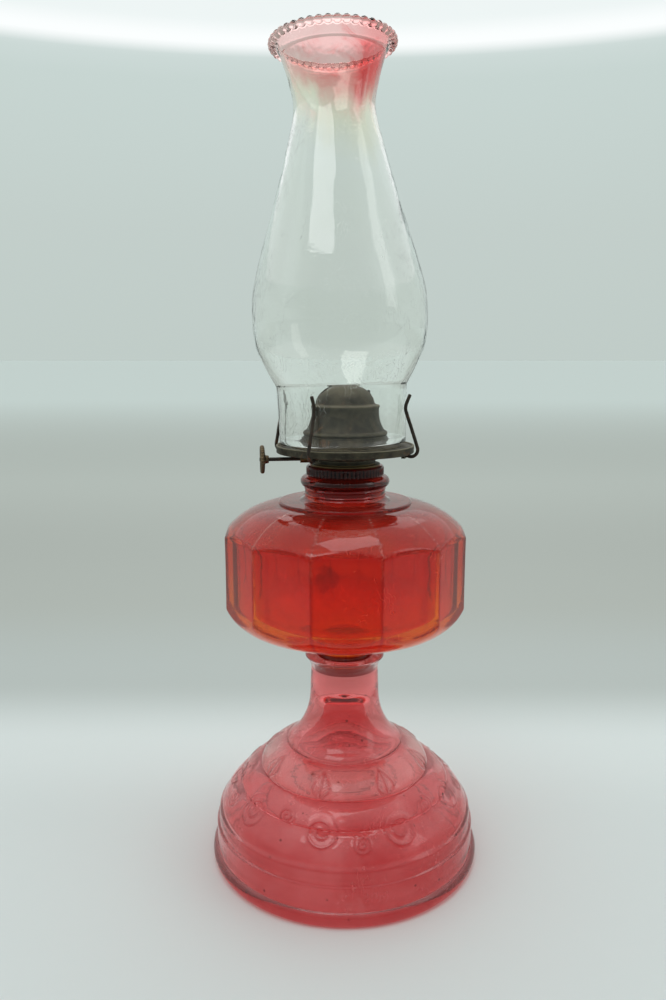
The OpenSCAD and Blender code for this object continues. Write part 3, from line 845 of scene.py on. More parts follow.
class Finish(Enum):
    """The finishes of the lamp's pieces."""

    ROSE = RoseStain("rose_stained_glass", (0.93, 0.37, 0.38), (0.8, 0.16, 0.17), (0.97, 0.6, 0.58),
                     0.05, 0.035, 20, dust=0.26, dust_tint=(0.86, 0.5, 0.5))
    RUBY = RubyStain("ruby_stained_glass", (0.93, 0.07, 0.006), (0.84, 0.04, 0.004), (0.96, 0.13, 0.012),
                     0.06, 0.02, 14, shine=0.34, dust=0.34, dust_tint=(0.46, 0.13, 0.1))
    CLEAR = FlashedCrown("clear_glass", (0.998, 1.0, 0.985), (0.988, 0.995, 0.97), (1.0, 1.0, 0.995),
                         0.0, 0.0, 12, shine=0.42)
    PATINA = MetalFinish("burner_patina", (0.074, 0.064, 0.04), (0.32, 0.29, 0.2), (0.14, 0.07, 0.032),
                         (0.018, 0.015, 0.01), 0.6, 0.45, 110, 0.5)
    DULL_BRASS = MetalFinish("dull_brass", (0.13, 0.095, 0.045), (0.3, 0.22, 0.11), (0.09, 0.08, 0.05),
                             (0.16, 0.11, 0.05), 0.42, 0.9, 90, 0.3)
    KNOB = MetalFinish("tarnished_brass", (0.17, 0.12, 0.065), (0.42, 0.31, 0.17), (0.16, 0.07, 0.035),
                       (0.06, 0.045, 0.03), 0.45, 0.7, 160, 0.5)
    WIRE = MetalFinish("rusty_wire", (0.05, 0.037, 0.026), (0.16, 0.13, 0.1), (0.16, 0.055, 0.022),
                       (0.02, 0.016, 0.013), 0.5, 0.5, 240, 0.6)
    COTTON = CottonFinish("wick_cotton_weave", (0.74, 0.68, 0.55), (0.56, 0.49, 0.36), (0.02, 0.017, 0.015))
    CEMENT_RED = CementFinish("stem_cement_stained", (0.5, 0.08, 0.06), (0.34, 0.03, 0.025))
    CEMENT_DARK = CementFinish("collar_cement_stained", (0.12, 0.02, 0.015), (0.06, 0.008, 0.006))


class Workshop:
    """Keeps one material for each finish and hands pieces to their bodies."""

    def __init__(self) -> None:
        """Starts with no material made."""
        self.made: dict[Finish, bpy.types.Material] = {}

    def material(self, finish: Finish) -> bpy.types.Material:
        """The material of a finish, made when it is first asked for.

        Args:
            finish: The finish.

        Returns:
            Its material.
        """
        if finish not in self.made:
            self.made[finish] = finish.value.material()
        return self.made[finish]

    def fit(self, piece: bpy.types.Object, body: str, slot: str, finish: Finish,
            *nodes: str) -> bpy.types.Object:
        """Finishes a piece and joins it to the frame.

        Args:
            piece: The piece, already in place.
            body: CAD body it rides on.
            slot: Material slot of the record it stands for; not used.
            finish: Its finish.
            *nodes: CAD nodes it replaces.

        Returns:
            The piece.
        """
        piece.data.materials.clear()
        piece.data.materials.append(self.material(finish))
        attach(piece, body)
        if nodes:
            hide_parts(*nodes)
        LOG.info("%s: %d faces on %s", piece.name, len(piece.data.polygons), body)
        return piece

    def dress(self, node: str, finish: Finish) -> None:
        """Gives a CAD node that stays its finish.

        Args:
            node: Name of the node.
            finish: Its finish.
        """
        shown = frame["nodes"][node]
        shown.data.materials.clear()
        shown.data.materials.append(self.material(finish))
        LOG.info("%s: CAD node, %s", node, finish.name.lower())


# ---- pedestal ---------------------------------------------------------------------------------------


@dataclass
class Pedestal:
    """Pressed-glass pedestal: foot rim, two bands, three domes with scroll relief, and a flared stem."""

    rim_h: float = 8.5 * MM
    band_line: float = 23.4 * MM
    dome_foot: float = 31.1 * MM
    lower_step: Point = (63.8 * MM, 45.7 * MM)
    upper_step: Point = (52.1 * MM, 55.8 * MM)
    stem_ring: Point = (35.6 * MM, 69.6 * MM)
    stem_r: float = 20 * MM
    lip_flare: float = 3.3 * MM
    wall: float = 5 * MM
    socket_r: float = 16.8 * MM
    socket_floor: float = 115.8 * MM
    hollow_top: float = 98 * MM
    relief: float = 0.8 * MM
    swell: float = 1 * MM
    groove: float = 0.9 * MM
    scrolls: int = 9
    leaves: int = 8

    def outer(self) -> list[Point]:
        """Outline from the foot's edge up to the lip.

        Returns:
            Points as (radius, height).
        """
        low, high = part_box("pedestal")
        foot_r, top = high.x, high.z
        waist = self.stem_ring[1] + (top - self.stem_ring[1]) * 0.57
        outline = arc((foot_r - 3 * MM, 0), (foot_r - 1.6 * MM, self.rim_h), 2.24 * MM, 10)
        outline += [(foot_r - 2.3 * MM, self.rim_h + 0.35 * MM), (foot_r - 2.6 * MM, self.rim_h + 1 * MM)]
        outline += [(foot_r - 2.8 * MM, self.band_line - 1.2 * MM),
                    (foot_r - 3.2 * MM, self.band_line - 0.4 * MM)]
        outline += [(foot_r - 3.8 * MM, self.band_line), (foot_r - 4 * MM, self.band_line + 0.8 * MM)]
        outline += [(foot_r - 4.5 * MM, self.dome_foot - 0.8 * MM), (foot_r - 4.9 * MM, self.dome_foot)]
        outline += arc((foot_r - 5.3 * MM, self.dome_foot + 0.4 * MM),
                       (self.lower_step[0] + 0.5 * MM, self.lower_step[1] - 0.3 * MM), 0.7 * MM, 8)
        outline += arc((self.lower_step[0], self.lower_step[1] + 0.1 * MM),
                       (self.upper_step[0] + 0.5 * MM, self.upper_step[1] - 0.3 * MM), 0.6 * MM, 8)
        outline += arc((self.upper_step[0] - 0.4 * MM, self.upper_step[1]),
                       (self.stem_ring[0] + 0.3 * MM, self.stem_ring[1] - 0.3 * MM), 1.9 * MM, 10)
        outline += arc((self.stem_ring[0] - 0.3 * MM, self.stem_ring[1]), (self.stem_r + 0.5 * MM, waist),
                       -3.8 * MM, 16)
        outline += arc((self.stem_r, top - 10.5 * MM), (self.stem_r + self.lip_flare, top - 0.9 * MM),
                       -1.2 * MM, 10)
        outline += arc((self.stem_r + self.lip_flare, top - 0.7 * MM),
                       (self.stem_r + self.lip_flare - 0.7 * MM, top), 0.15 * MM, 3)
        return outline

    def inner(self) -> list[Point]:
        """Outline of the hollow, from its top down to the foot.

        Returns:
            Points as (radius, height).
        """
        foot_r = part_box("pedestal")[1].x - self.wall
        ring = (self.stem_ring[0] - 0.8 * self.wall, self.stem_ring[1] - 0.6 * self.wall)
        neck = self.stem_r / 2 + 1.6 * MM
        up = [
            (foot_r - 2.8 * MM, 0),
            (foot_r - 3.8 * MM, self.band_line - 1 * MM),
            (foot_r - 4.4 * MM, self.dome_foot - 0.6 * self.wall),
            (self.lower_step[0] - 0.7 * self.wall, self.lower_step[1] - 0.7 * self.wall),
        ]
        up += arc((self.upper_step[0] - 0.65 * self.wall, self.upper_step[1] - 0.75 * self.wall), ring,
                  1.4 * MM, 6)
        up += arc((ring[0] - 0.6 * MM, ring[1] + 0.5 * MM), (neck, self.hollow_top - 5 * MM), -4 * MM, 10)
        up += arc((neck - 0.2 * MM, self.hollow_top - 4.6 * MM), (0, self.hollow_top), 3.4 * MM, 6)
        return up[::-1]

    def rolls(self, height: np.ndarray) -> np.ndarray:
        """Swell of each dome and the groove at its foot.

        Args:
            height: Heights of the surface.

        Returns:
            How far the surface moves outwards, in metres.
        """
        total = np.zeros(height.shape)
        steps = [self.dome_foot, self.lower_step[1], self.upper_step[1], self.stem_ring[1]]
        for low, high in zip(steps[:-1], steps[1:]):
            share = np.clip((height - low) / (high - low), 0, 1)
            total += self.swell * np.sin(math.pi * share) ** 0.8
        for level in steps[1:]:
            total -= self.groove * np.exp(-((height - level) / (0.8 * MM)) ** 2)
        ring = (height - self.stem_ring[1] - 3 * MM) / (2.2 * MM)
        return total + 0.7 * MM * np.exp(-ring ** 2)

    def scroll_height(self, across: np.ndarray, up: np.ndarray, reach: float, turn: float) -> np.ndarray:
        """Ridges of a spiral scroll.

        Args:
            across: Distance from the scroll's middle round the dome.
            up: Distance from it along the dome.
            reach: Radius of the scroll.
            turn: 1 or -1, the way it winds.

        Returns:
            Ridge heights from 0 to 1.
        """
        away = np.hypot(across, up)
        swing = np.arctan2(up, across * turn)
        pitch = reach / 2.3
        phase = np.mod(away / pitch - swing / TAU, 1.0)
        off = np.minimum(phase, 1 - phase) * pitch
        ridge = np.exp(-(off / (0.75 * MM)) ** 2)
        return ridge * rounded(reach - away, 1.2 * MM) * rounded(away, 0.9 * MM)

    def leaf_height(self, across: np.ndarray, up: np.ndarray, reach: float) -> np.ndarray:
        """Ridges of a leaf with a midrib and slanting veins.

        Args:
            across: Distance from the leaf's midrib round the dome.
            up: Distance from its middle along the dome.
            reach: Half its length.

        Returns:
            Ridge heights from 0 to 1.
        """
        along = np.clip(up / reach, -1, 1)
        half_w = 0.55 * reach * (1 - along ** 2) * (1.15 - 0.5 * along)
        rim = np.exp(-((np.abs(across) - half_w) / (0.65 * MM)) ** 2)
        midrib = np.exp(-(across / (0.6 * MM)) ** 2)
        slant = np.mod((up - 0.9 * np.abs(across)) / (2.1 * MM), 1.0)
        vein = np.exp(-(np.minimum(slant, 1 - slant) * 2.1 * MM / (0.35 * MM)) ** 2)
        inside = (np.abs(across) < half_w) & (np.abs(up) < reach)
        return np.where(inside, np.maximum(midrib, 0.7 * vein), 0) + np.where(np.abs(up) < reach, rim, 0)

    def pattern(self, radius: np.ndarray, height: np.ndarray, angle: np.ndarray) -> np.ndarray:
        """Relief of the domes: scrolls below, leaves above.

        Args:
            radius: Radii of the surface.
            height: Heights of the surface.
            angle: Angles of the surface.

        Returns:
            Relief from 0 to 1.
        """
        total = np.zeros(radius.shape)
        middle = (self.lower_step[0] + 0.6 * MM, self.lower_step[1])
        for k in range(self.scrolls):
            side = 1 if k % 2 == 0 else -1
            centre = TAU * k / self.scrolls + 0.31
            across = radius * (np.mod(angle - centre + math.pi, TAU) - math.pi)
            up = np.hypot(radius - middle[0], height - middle[1]) * np.sign(height - middle[1])
            total += self.scroll_height(across, up - 0.8 * MM * side, 10.5 * MM, side)
            small = np.mod(angle - centre - math.pi / self.scrolls + math.pi, TAU) - math.pi
            total += self.scroll_height(radius * small, up + 5.2 * MM * side, 6.2 * MM, -side)
        top = ((self.upper_step[0] + self.stem_ring[0]) / 2, (self.upper_step[1] + self.stem_ring[1]) / 2)
        for k in range(self.leaves):
            centre = TAU * (k + 0.5) / self.leaves + 0.1
            across = radius * (np.mod(angle - centre + math.pi, TAU) - math.pi)
            up = (height - top[1]) * 1.45
            total += self.leaf_height(across, up, 7.6 * MM)
        on_domes = rounded(height - self.dome_foot - 1 * MM, 1.5 * MM)
        on_domes = on_domes * rounded(self.stem_ring[1] - 1 * MM - height, 1.5 * MM)
        step = np.minimum(np.abs(height - self.upper_step[1]), np.abs(height - self.lower_step[1]))
        return np.clip(total, 0, 1) * on_domes * (0.4 + 0.6 * rounded(step, 1 * MM))

    def build(self, shop: Workshop) -> None:
        """Makes the pedestal and its cement.

        Args:
            shop: Where pieces get their materials and join the frame.
        """
        outer = refine(self.outer(), 0.75 * MM)
        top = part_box("pedestal")[1].z
        socket = [(self.socket_r, top), (self.socket_r, self.socket_floor), (0, self.socket_floor)]
        angles = around(560)
        solid = Solid("glass_pedestal")

        def on_dome(height: np.ndarray) -> np.ndarray:
            """1 on the domes, 0 on the bands and the stem.

            Args:
                height: Heights as a grid.

            Returns:
                The shares as a grid.
            """
            return rounded(height - self.dome_foot, 2 * MM) * rounded(self.stem_ring[1] - height, 2 * MM)

        def shape(radius: np.ndarray, height: np.ndarray, angle: np.ndarray) -> tuple[np.ndarray, np.ndarray]:
            """Adds the relief, the rolled steps and the slow waves of pressed glass.

            Args:
                radius: Radii as a grid.
                height: Heights as a grid.
                angle: Angles as a grid.

            Returns:
                The new radii and heights.
            """
            lift = self.pattern(radius, height, angle) * self.relief
            calm = rounded(height, 4 * MM) * rounded(top - height, 4 * MM)
            wave = ripple(angle, height, 11) * 0.1 * MM * calm
            sunk = np.abs(wave) * 0.5 + self.relief * on_dome(height)
            return radius - sunk + lift * 0.8 + self.rolls(height), height

        grid_r, grid_a = np.meshgrid([p[0] for p in outer], angles, indexing="ij")
        grid_z = np.meshgrid([p[1] for p in outer], angles, indexing="ij")[0]
        # Scroll and leaf ridges, which get painted shade.
        drawn = self.pattern(grid_r, grid_z, grid_a)
        # Painted shade: darker along the foot rim's bottom and in the grooves at the band, dome foot, steps
        # and stem ring.
        low_rim_painted_shade = rounded(12 * MM - grid_z, 6 * MM) * 0.9
        lines = np.exp(-((grid_z - self.band_line) / (0.9 * MM)) ** 2) * 0.7
        lines += np.exp(-((grid_z - self.dome_foot) / (0.9 * MM)) ** 2) * 0.6
        for level in (self.lower_step[1], self.upper_step[1], self.stem_ring[1]):
            lines += np.exp(-((grid_z - level) / (1.1 * MM)) ** 2) * 0.9
        stain = np.clip(low_rim_painted_shade + lines, 0, 1)
        solid.revolve(outer, angles, shape, closed=False, relief=stain, drawn=drawn)
        inner = refine(self.inner(), 2 * MM)
        solid.revolve(inner, angles, closed=False)
        solid.revolve([outer[-1], *socket], angles, closed=False)
        solid.revolve([inner[-1], outer[0]], angles, closed=False)
        shop.fit(solid.finish(55), "glass_base", "rose_glass", Finish.ROSE, "pedestal")
        shop.dress("stem_cement", Finish.CEMENT_RED)


# ---- font -------------------------------------------------------------------------------------------


@dataclass
class Font:
    """Twelve-panel glass font with its peg, raised disc and ribbed neck."""

    panels: int = 12
    wall: float = 4.5 * MM
    peg_r: float = 15.2 * MM
    peg_ring: float = 0.9 * MM
    foot: float = 124.8 * MM
    shank: float = 8.7 * MM
    turn_w: float = 17 * MM
    turn_h: float = 13.8 * MM
    panel_low: float = 156.6 * MM
    panel_high: float = 198.6 * MM
    disc_r: float = 38.1 * MM
    disc_z: float = 215.4 * MM
    neck_r: float = 22.2 * MM
    neck_wall: float = 4 * MM
    ribs: int = 60
    corner_soft: float = 0.5 * MM

    def panel_radius(self, angle: np.ndarray) -> np.ndarray:
        """Radius of the flat panels with softened corners, one panel facing -Y.

        Args:
            angle: Angles round the font.

        Returns:
            The radii.
        """
        apothem = self.corner_r() * math.cos(math.pi / self.panels)
        step = TAU / self.panels
        off = np.mod(angle + math.pi / 2 + step / 2, step) - step / 2
        near = apothem / np.cos(off)
        other = apothem / np.cos(step - np.abs(off))
        blend = np.clip(0.5 + (other - near) / (2 * self.corner_soft), 0, 1)
        return near * blend + other * (1 - blend) - self.corner_soft * blend * (1 - blend)

    def corner_r(self) -> float:
        """Radius over the corners, from the frame: half the box is the middle of a flat.

        Returns:
            The radius.
        """
        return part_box("font")[1].x / math.cos(math.pi / self.panels)

    def under_z(self, radius: np.ndarray) -> np.ndarray:
        """Height of the underside at a radius.

        Args:
            radius: Radii of the underside.

        Returns:
            The heights.
        """
        turn = arc((self.corner_r() - self.turn_w, self.panel_low - self.turn_h),
                   (self.corner_r(), self.panel_low), 2.5 * MM, 24)
        shank = arc((self.peg_r, self.foot), (self.peg_r + self.shank, self.foot + self.shank), -2.5 * MM, 12)
        line = shank + turn
        return np.interp(radius, [p[0] for p in line], [p[1] for p in line])

    def shoulder_z(self, radius: np.ndarray) -> np.ndarray:
        """Height of the shoulder at a radius.

        Args:
            radius: Radii of the shoulder.

        Returns:
            The heights.
        """
        line = arc((self.corner_r(), self.panel_high), (self.disc_r, self.disc_z), 3.9 * MM, 24)[::-1]
        return np.interp(radius, [p[0] for p in line], [p[1] for p in line])

    def body_grid(self, angle: np.ndarray) -> tuple[np.ndarray, np.ndarray, np.ndarray]:
        """Radii and heights of the outside from the peg's fillet to the disc, row by row.

        Args:
            angle: Angles round the font.

        Returns:
            Radii, heights and a mark for the edges between panel and shoulder, as grids.
        """
        out = self.panel_radius(angle)
        rows_r, rows_z, edge = [], [], []
        inner = self.peg_r
        for t in np.concatenate([np.linspace(0, 0.16, 8), np.linspace(0.2, 0.965, 26), [0.985]]):
            radius = inner + (out - inner) * t
            rows_r.append(radius)
            rows_z.append(self.under_z(radius))
            edge.append(np.full(angle.shape, 0.0 if t < 0.96 else 0.5))
        low, high = self.under_z(out), self.shoulder_z(out)
        soft = 0.5 * MM
        for share, inset in ((0.006, 0.25), (0.016, 0.06), (0.03, 0.0)):
            rows_r.append(out - inset * soft)
            rows_z.append(low + (high - low) * share)
            edge.append(np.full(angle.shape, 1.0 - share * 25))
        for share in np.linspace(0.07, 0.93, 20):
            belly = 0.12 * MM * math.sin(math.pi * share)
            rows_r.append(out - belly)
            rows_z.append(low + (high - low) * share)
            edge.append(np.zeros(angle.shape))
        for share, inset in ((0.97, 0.0), (0.984, 0.06), (0.994, 0.25)):
            rows_r.append(out - inset * soft)
            rows_z.append(low + (high - low) * share)
            edge.append(np.full(angle.shape, 1.0 - (1 - share) * 25))
        for t in np.concatenate([[0.015, 0.04], np.linspace(0.08, 1, 24)]):
            radius = out + (self.disc_r - out) * t
            rows_r.append(radius)
            rows_z.append(self.shoulder_z(radius))
            edge.append(np.full(angle.shape, 0.5 if t < 0.03 else 0.0))
        return np.array(rows_r), np.array(rows_z), np.array(edge)

    def neck_outline(self) -> list[Point]:
        """Outline from the disc's edge over the neck to its top.

        Returns:
            Points as (radius, height).
        """
        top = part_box("font")[1].z
        disc_top = self.disc_z + 1.5 * MM
        ring = top - 9.1 * MM
        n = self.neck_r
        outline = [(self.disc_r, disc_top - 0.5 * MM), (self.disc_r - 0.25 * MM, disc_top - 0.15 * MM)]
        outline += [(self.disc_r - 0.7 * MM, disc_top)]
        outline += arc((n + 5.4 * MM, disc_top + 0.4 * MM), (n + 1 * MM, disc_top + 3 * MM), -0.9 * MM, 6)
        outline += [(n + 1.5 * MM, disc_top + 3.8 * MM), (n + 1 * MM, disc_top + 4.6 * MM)]
        outline += [(n + 0.9 * MM, disc_top + 6.4 * MM), (n + 1.3 * MM, disc_top + 7 * MM)]
        outline += arc((n + 0.9 * MM, ring - 3.3 * MM), (n + 0.6 * MM, ring + 3.2 * MM), 2.6 * MM, 12)
        outline += [(n, ring + 3.6 * MM)]
        outline += arc((n, top - 1.9 * MM), (n - 1.9 * MM, top), 0.7 * MM, 6)
        return outline

    def inner_outline(self) -> list[Point]:
        """Outline of the cavity, from the neck's bore down to the middle of the floor.

        Returns:
            Points as (radius, height).
        """
        cavity = self.corner_r() * math.cos(math.pi / self.panels) - self.wall
        floor = self.foot + self.shank + self.wall
        bore = self.neck_r - self.neck_wall
        up = [(0, floor), (self.peg_r + self.shank, floor + 0.4 * MM)]
        turn = (self.corner_r() - self.turn_w - 1 * MM, self.panel_low - self.turn_h + self.wall + 0.2 * MM)
        up += arc(turn, (cavity, self.panel_low + 3 * MM), 2.2 * MM, 8)
        up += arc((cavity, self.panel_high - 1 * MM), (self.disc_r - 2 * MM, self.disc_z - self.wall),
                  3.6 * MM, 10)
        up += [(bore, self.disc_z - self.wall + 0.6 * MM), (bore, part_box("font")[1].z)]
        return up[::-1]

    def rib_depth(self, height: np.ndarray, angle: np.ndarray) -> np.ndarray:
        """How deep the upright flutes are cut at the top of the neck.

        Args:
            height: Heights on the neck.
            angle: Angles round it.

        Returns:
            The depths in metres.
        """
        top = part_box("font")[1].z
        band = rounded(height - (top - 5.4 * MM), 0.6 * MM) * rounded(top - 0.9 * MM - height, 0.7 * MM)
        wave = 0.5 + 0.5 * np.cos(self.ribs * angle + math.pi)
        return 0.75 * MM * wave ** 1.5 * band

    def build(self, shop: Workshop) -> None:
        """Makes the font and dresses the cement and collar in its neck.

        Args:
            shop: Where pieces get their materials and join the frame.
        """
        step = TAU / self.panels
        corners = [-math.pi / 2 + step * (k + 0.5) for k in range(self.panels)]
        angles = around(480, corners, [math.radians(d) for d in (0.2, 0.45, 1.05)])
        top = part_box("font")[1].z
        radius, height, edge = self.body_grid(angles)
        off = np.abs(np.mod(angles + math.pi / 2, step) - step / 2)
        ridge = np.exp(-(off * self.corner_r() / (0.9 * MM)) ** 2)
        side_rows = (height > self.panel_low - 9 * MM) & (height < self.disc_z - 1 * MM)
        # The corner mark paints shade along the panel corners and panel edges; it also places the worn chips.
        corner = np.clip(np.where(side_rows, ridge[None, :], 0) * 0.9 + edge * 0.6, 0, 1)
        # Painted shade on the upper shoulder under the disc, carried by the neck mark.
        painted_shade = rounded(height - (self.panel_high + 10.5 * MM), 4 * MM)
        seam_at = np.abs(np.mod(angles + math.radians(135) + math.pi, TAU) - math.pi)
        seam = np.exp(-(seam_at[None, :] * radius / (0.35 * MM)) ** 2)
        seam = seam * (height > self.panel_high - 6 * MM)
        solid = Solid("glass_font")
        wave = ripple(angles[None, :], height, 23) * 0.12 * MM
        rows, columns = radius.shape
        moved = radius - np.abs(wave) * rounded(height - 130 * MM, 6 * MM)
        moved = moved + seam * 0.18 * MM * (radius < 60 * MM)
        points = np.stack([moved * np.cos(angles), moved * np.sin(angles), height], -1).reshape(-1, 3)
        grid = np.arange(rows * columns).reshape(rows, columns)
        faces = [(grid[i, j], grid[i, (j + 1) % columns], grid[i + 1, (j + 1) % columns], grid[i + 1, j])
                 for i in range(rows - 1) for j in range(columns)]
        # Upper panels, where the pale chips add wear and painted highlight.
        top_edge = np.broadcast_to(rounded(height - (self.panel_high - 16 * MM), 12 * MM), height.shape)
        solid.add(points, faces, corner=corner.ravel(), neck=painted_shade.ravel(), seam=seam.ravel() * 0.8,
                  top_edge=top_edge.ravel())
        neck = refine([(self.disc_r, self.disc_z), *self.neck_outline()], 0.55 * MM)

        def fluted(r: np.ndarray, z: np.ndarray, a: np.ndarray) -> tuple[np.ndarray, np.ndarray]:
            """Cuts the flutes.

            Args:
                r: Radii as a grid.
                z: Heights as a grid.
                a: Angles as a grid.

            Returns:
                The new radii and heights.
            """
            return r - self.rib_depth(z, a), z

        neck_z, neck_a = np.meshgrid([p[1] for p in neck], angles, indexing="ij")
        # The rib mark paints shade into the flute grooves.
        ribs = np.clip(self.rib_depth(neck_z, neck_a) / (0.6 * MM), 0, 1)
        # The neck mark paints shade on the neck and mouth under the burner.
        solid.revolve(neck, angles, fluted, closed=False, neck=np.full((len(neck), 1), 0.8), rib=ribs)
        mouth = [neck[-1], (self.neck_r - self.neck_wall, top)]
        solid.revolve(mouth, angles, closed=False, neck=np.ones((2, 1)))
        inside = refine(self.inner_outline(), 2.5 * MM)
        solid.revolve(inside, angles, closed=False)
        peg_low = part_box("font")[0].z
        wide = self.peg_r + self.peg_ring
        peg = [(0, peg_low), (wide - 0.4 * MM, peg_low), (wide - 0.1 * MM, peg_low + 0.12 * MM),
               (wide, peg_low + 0.5 * MM), (wide, peg_low + 1.5 * MM),
               (self.peg_r + 0.2 * MM, peg_low + 2 * MM), (self.peg_r, peg_low + 2.4 * MM),
               (self.peg_r, self.foot)]
        peg = refine(peg, 2 * MM)
        # The neck mark paints shade on the peg inside the stem's socket.
        solid.revolve(peg, angles, closed=False, neck=np.full((len(peg), 1), 0.8))
        shop.fit(solid.finish(50), "glass_base", "ruby_glass", Finish.RUBY, "font")
        shop.dress("collar_cement", Finish.CEMENT_DARK)
        shop.dress("thread_collar", Finish.DULL_BRASS)


# ---- burner -----------------------------------------------------------------------------------------


@dataclass
class Burner:
    """Bowl, gallery and inner works of the burner."""

    rim_w: float = 1.2 * MM
    rim_h: float = 4.2 * MM

    def gallery(self, shop: Workshop) -> None:
        """Floor ring and rolled rim, with small dents.

        Args:
            shop: Where pieces get their materials and join the frame.
        """
        low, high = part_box("gallery")
        outer, top = high.x, high.z
        rim_in = outer - self.rim_w
        wrap = rim_in + self.rim_w / 2
        floor_top = top - 0.7 * MM
        floor_in = self.floor_hole()
        roll = 0.42 * self.rim_w
        outline = [(floor_in, floor_top - 0.95 * MM), (floor_in - 0.05 * MM, floor_top - 0.5 * MM),
                   (floor_in, floor_top - 0.05 * MM), (floor_in + 0.3 * MM, floor_top)]
        outline += refine([(floor_in + 0.4 * MM, floor_top), (rim_in - 0.5 * MM, floor_top)], 1 * MM)
        outline += arc((rim_in - 0.3 * MM, floor_top + 0.03 * MM), (rim_in, floor_top + 0.25 * MM),
                       0.04 * MM, 3)
        outline += arc((rim_in + 0.02 * MM, top - roll), (rim_in + roll, top), -0.2 * MM, 5)
        outline += arc((outer - roll, top), (outer, top - roll), -0.2 * MM, 5)
        outline += refine([(outer, top - roll - 0.3 * MM), (outer - 0.12 * MM, top - self.rim_h + 1 * MM)],
                          0.6 * MM)
        outline += arc((outer - 0.06 * MM, top - self.rim_h + 0.8 * MM), (wrap, top - self.rim_h),
                       -0.25 * MM, 5)
        outline += [(wrap, floor_top - 1 * MM), (rim_in - 1 * MM, floor_top - 1 * MM)]

        def dented(r: np.ndarray, z: np.ndarray, a: np.ndarray) -> tuple[np.ndarray, np.ndarray]:
            """Rim knocked a little out of true.

            Args:
                r: Radii as a grid.
                z: Heights as a grid.
                a: Angles as a grid.

            Returns:
                The new radii and heights.
            """
            share = rounded(r - (rim_in - 2 * MM), 2 * MM)
            inwards = np.abs(ripple(a, z * 0.2, 5)) * 0.14 * MM
            downwards = np.abs(ripple(a, z * 0, 6)) * 0.1 * MM
            return r - inwards * share, z - downwards * share

        solid = Solid("chimney_gallery")
        # Pale top edge of the rim: rubbing, partly a painted highlight along the edge.
        worn = np.array([[0.6 if p[0] > rim_in and p[1] > top - 0.4 * MM else 0.0] for p in outline])
        solid.revolve(outline, around(360), dented, worn=worn)
        shop.fit(solid.finish(45), "burner", "aged_brass", Finish.PATINA, "gallery")

    def floor_hole(self) -> float:
        """Radius of the hole in the gallery floor, read from the frame's mesh.

        Returns:
            The radius.
        """
        shown = frame["nodes"]["gallery"].data.vertices
        return min(math.hypot(v.co.x, v.co.y) for v in shown)

    def build(self, shop: Workshop) -> None:
        """Makes the gallery and dresses the pieces that stay.

        Args:
            shop: Where pieces get their materials and join the frame.
        """
        self.gallery(shop)
        shop.dress("burner_body", Finish.PATINA)
        shop.dress("prong_clips", Finish.PATINA)
        for node in ("burner_thread_ring", "inner_cap", "air_screen", "wick_tube", "vent_tube",
                     "spindle_housing", "spindle_bushing"):
            shop.dress(node, Finish.DULL_BRASS)


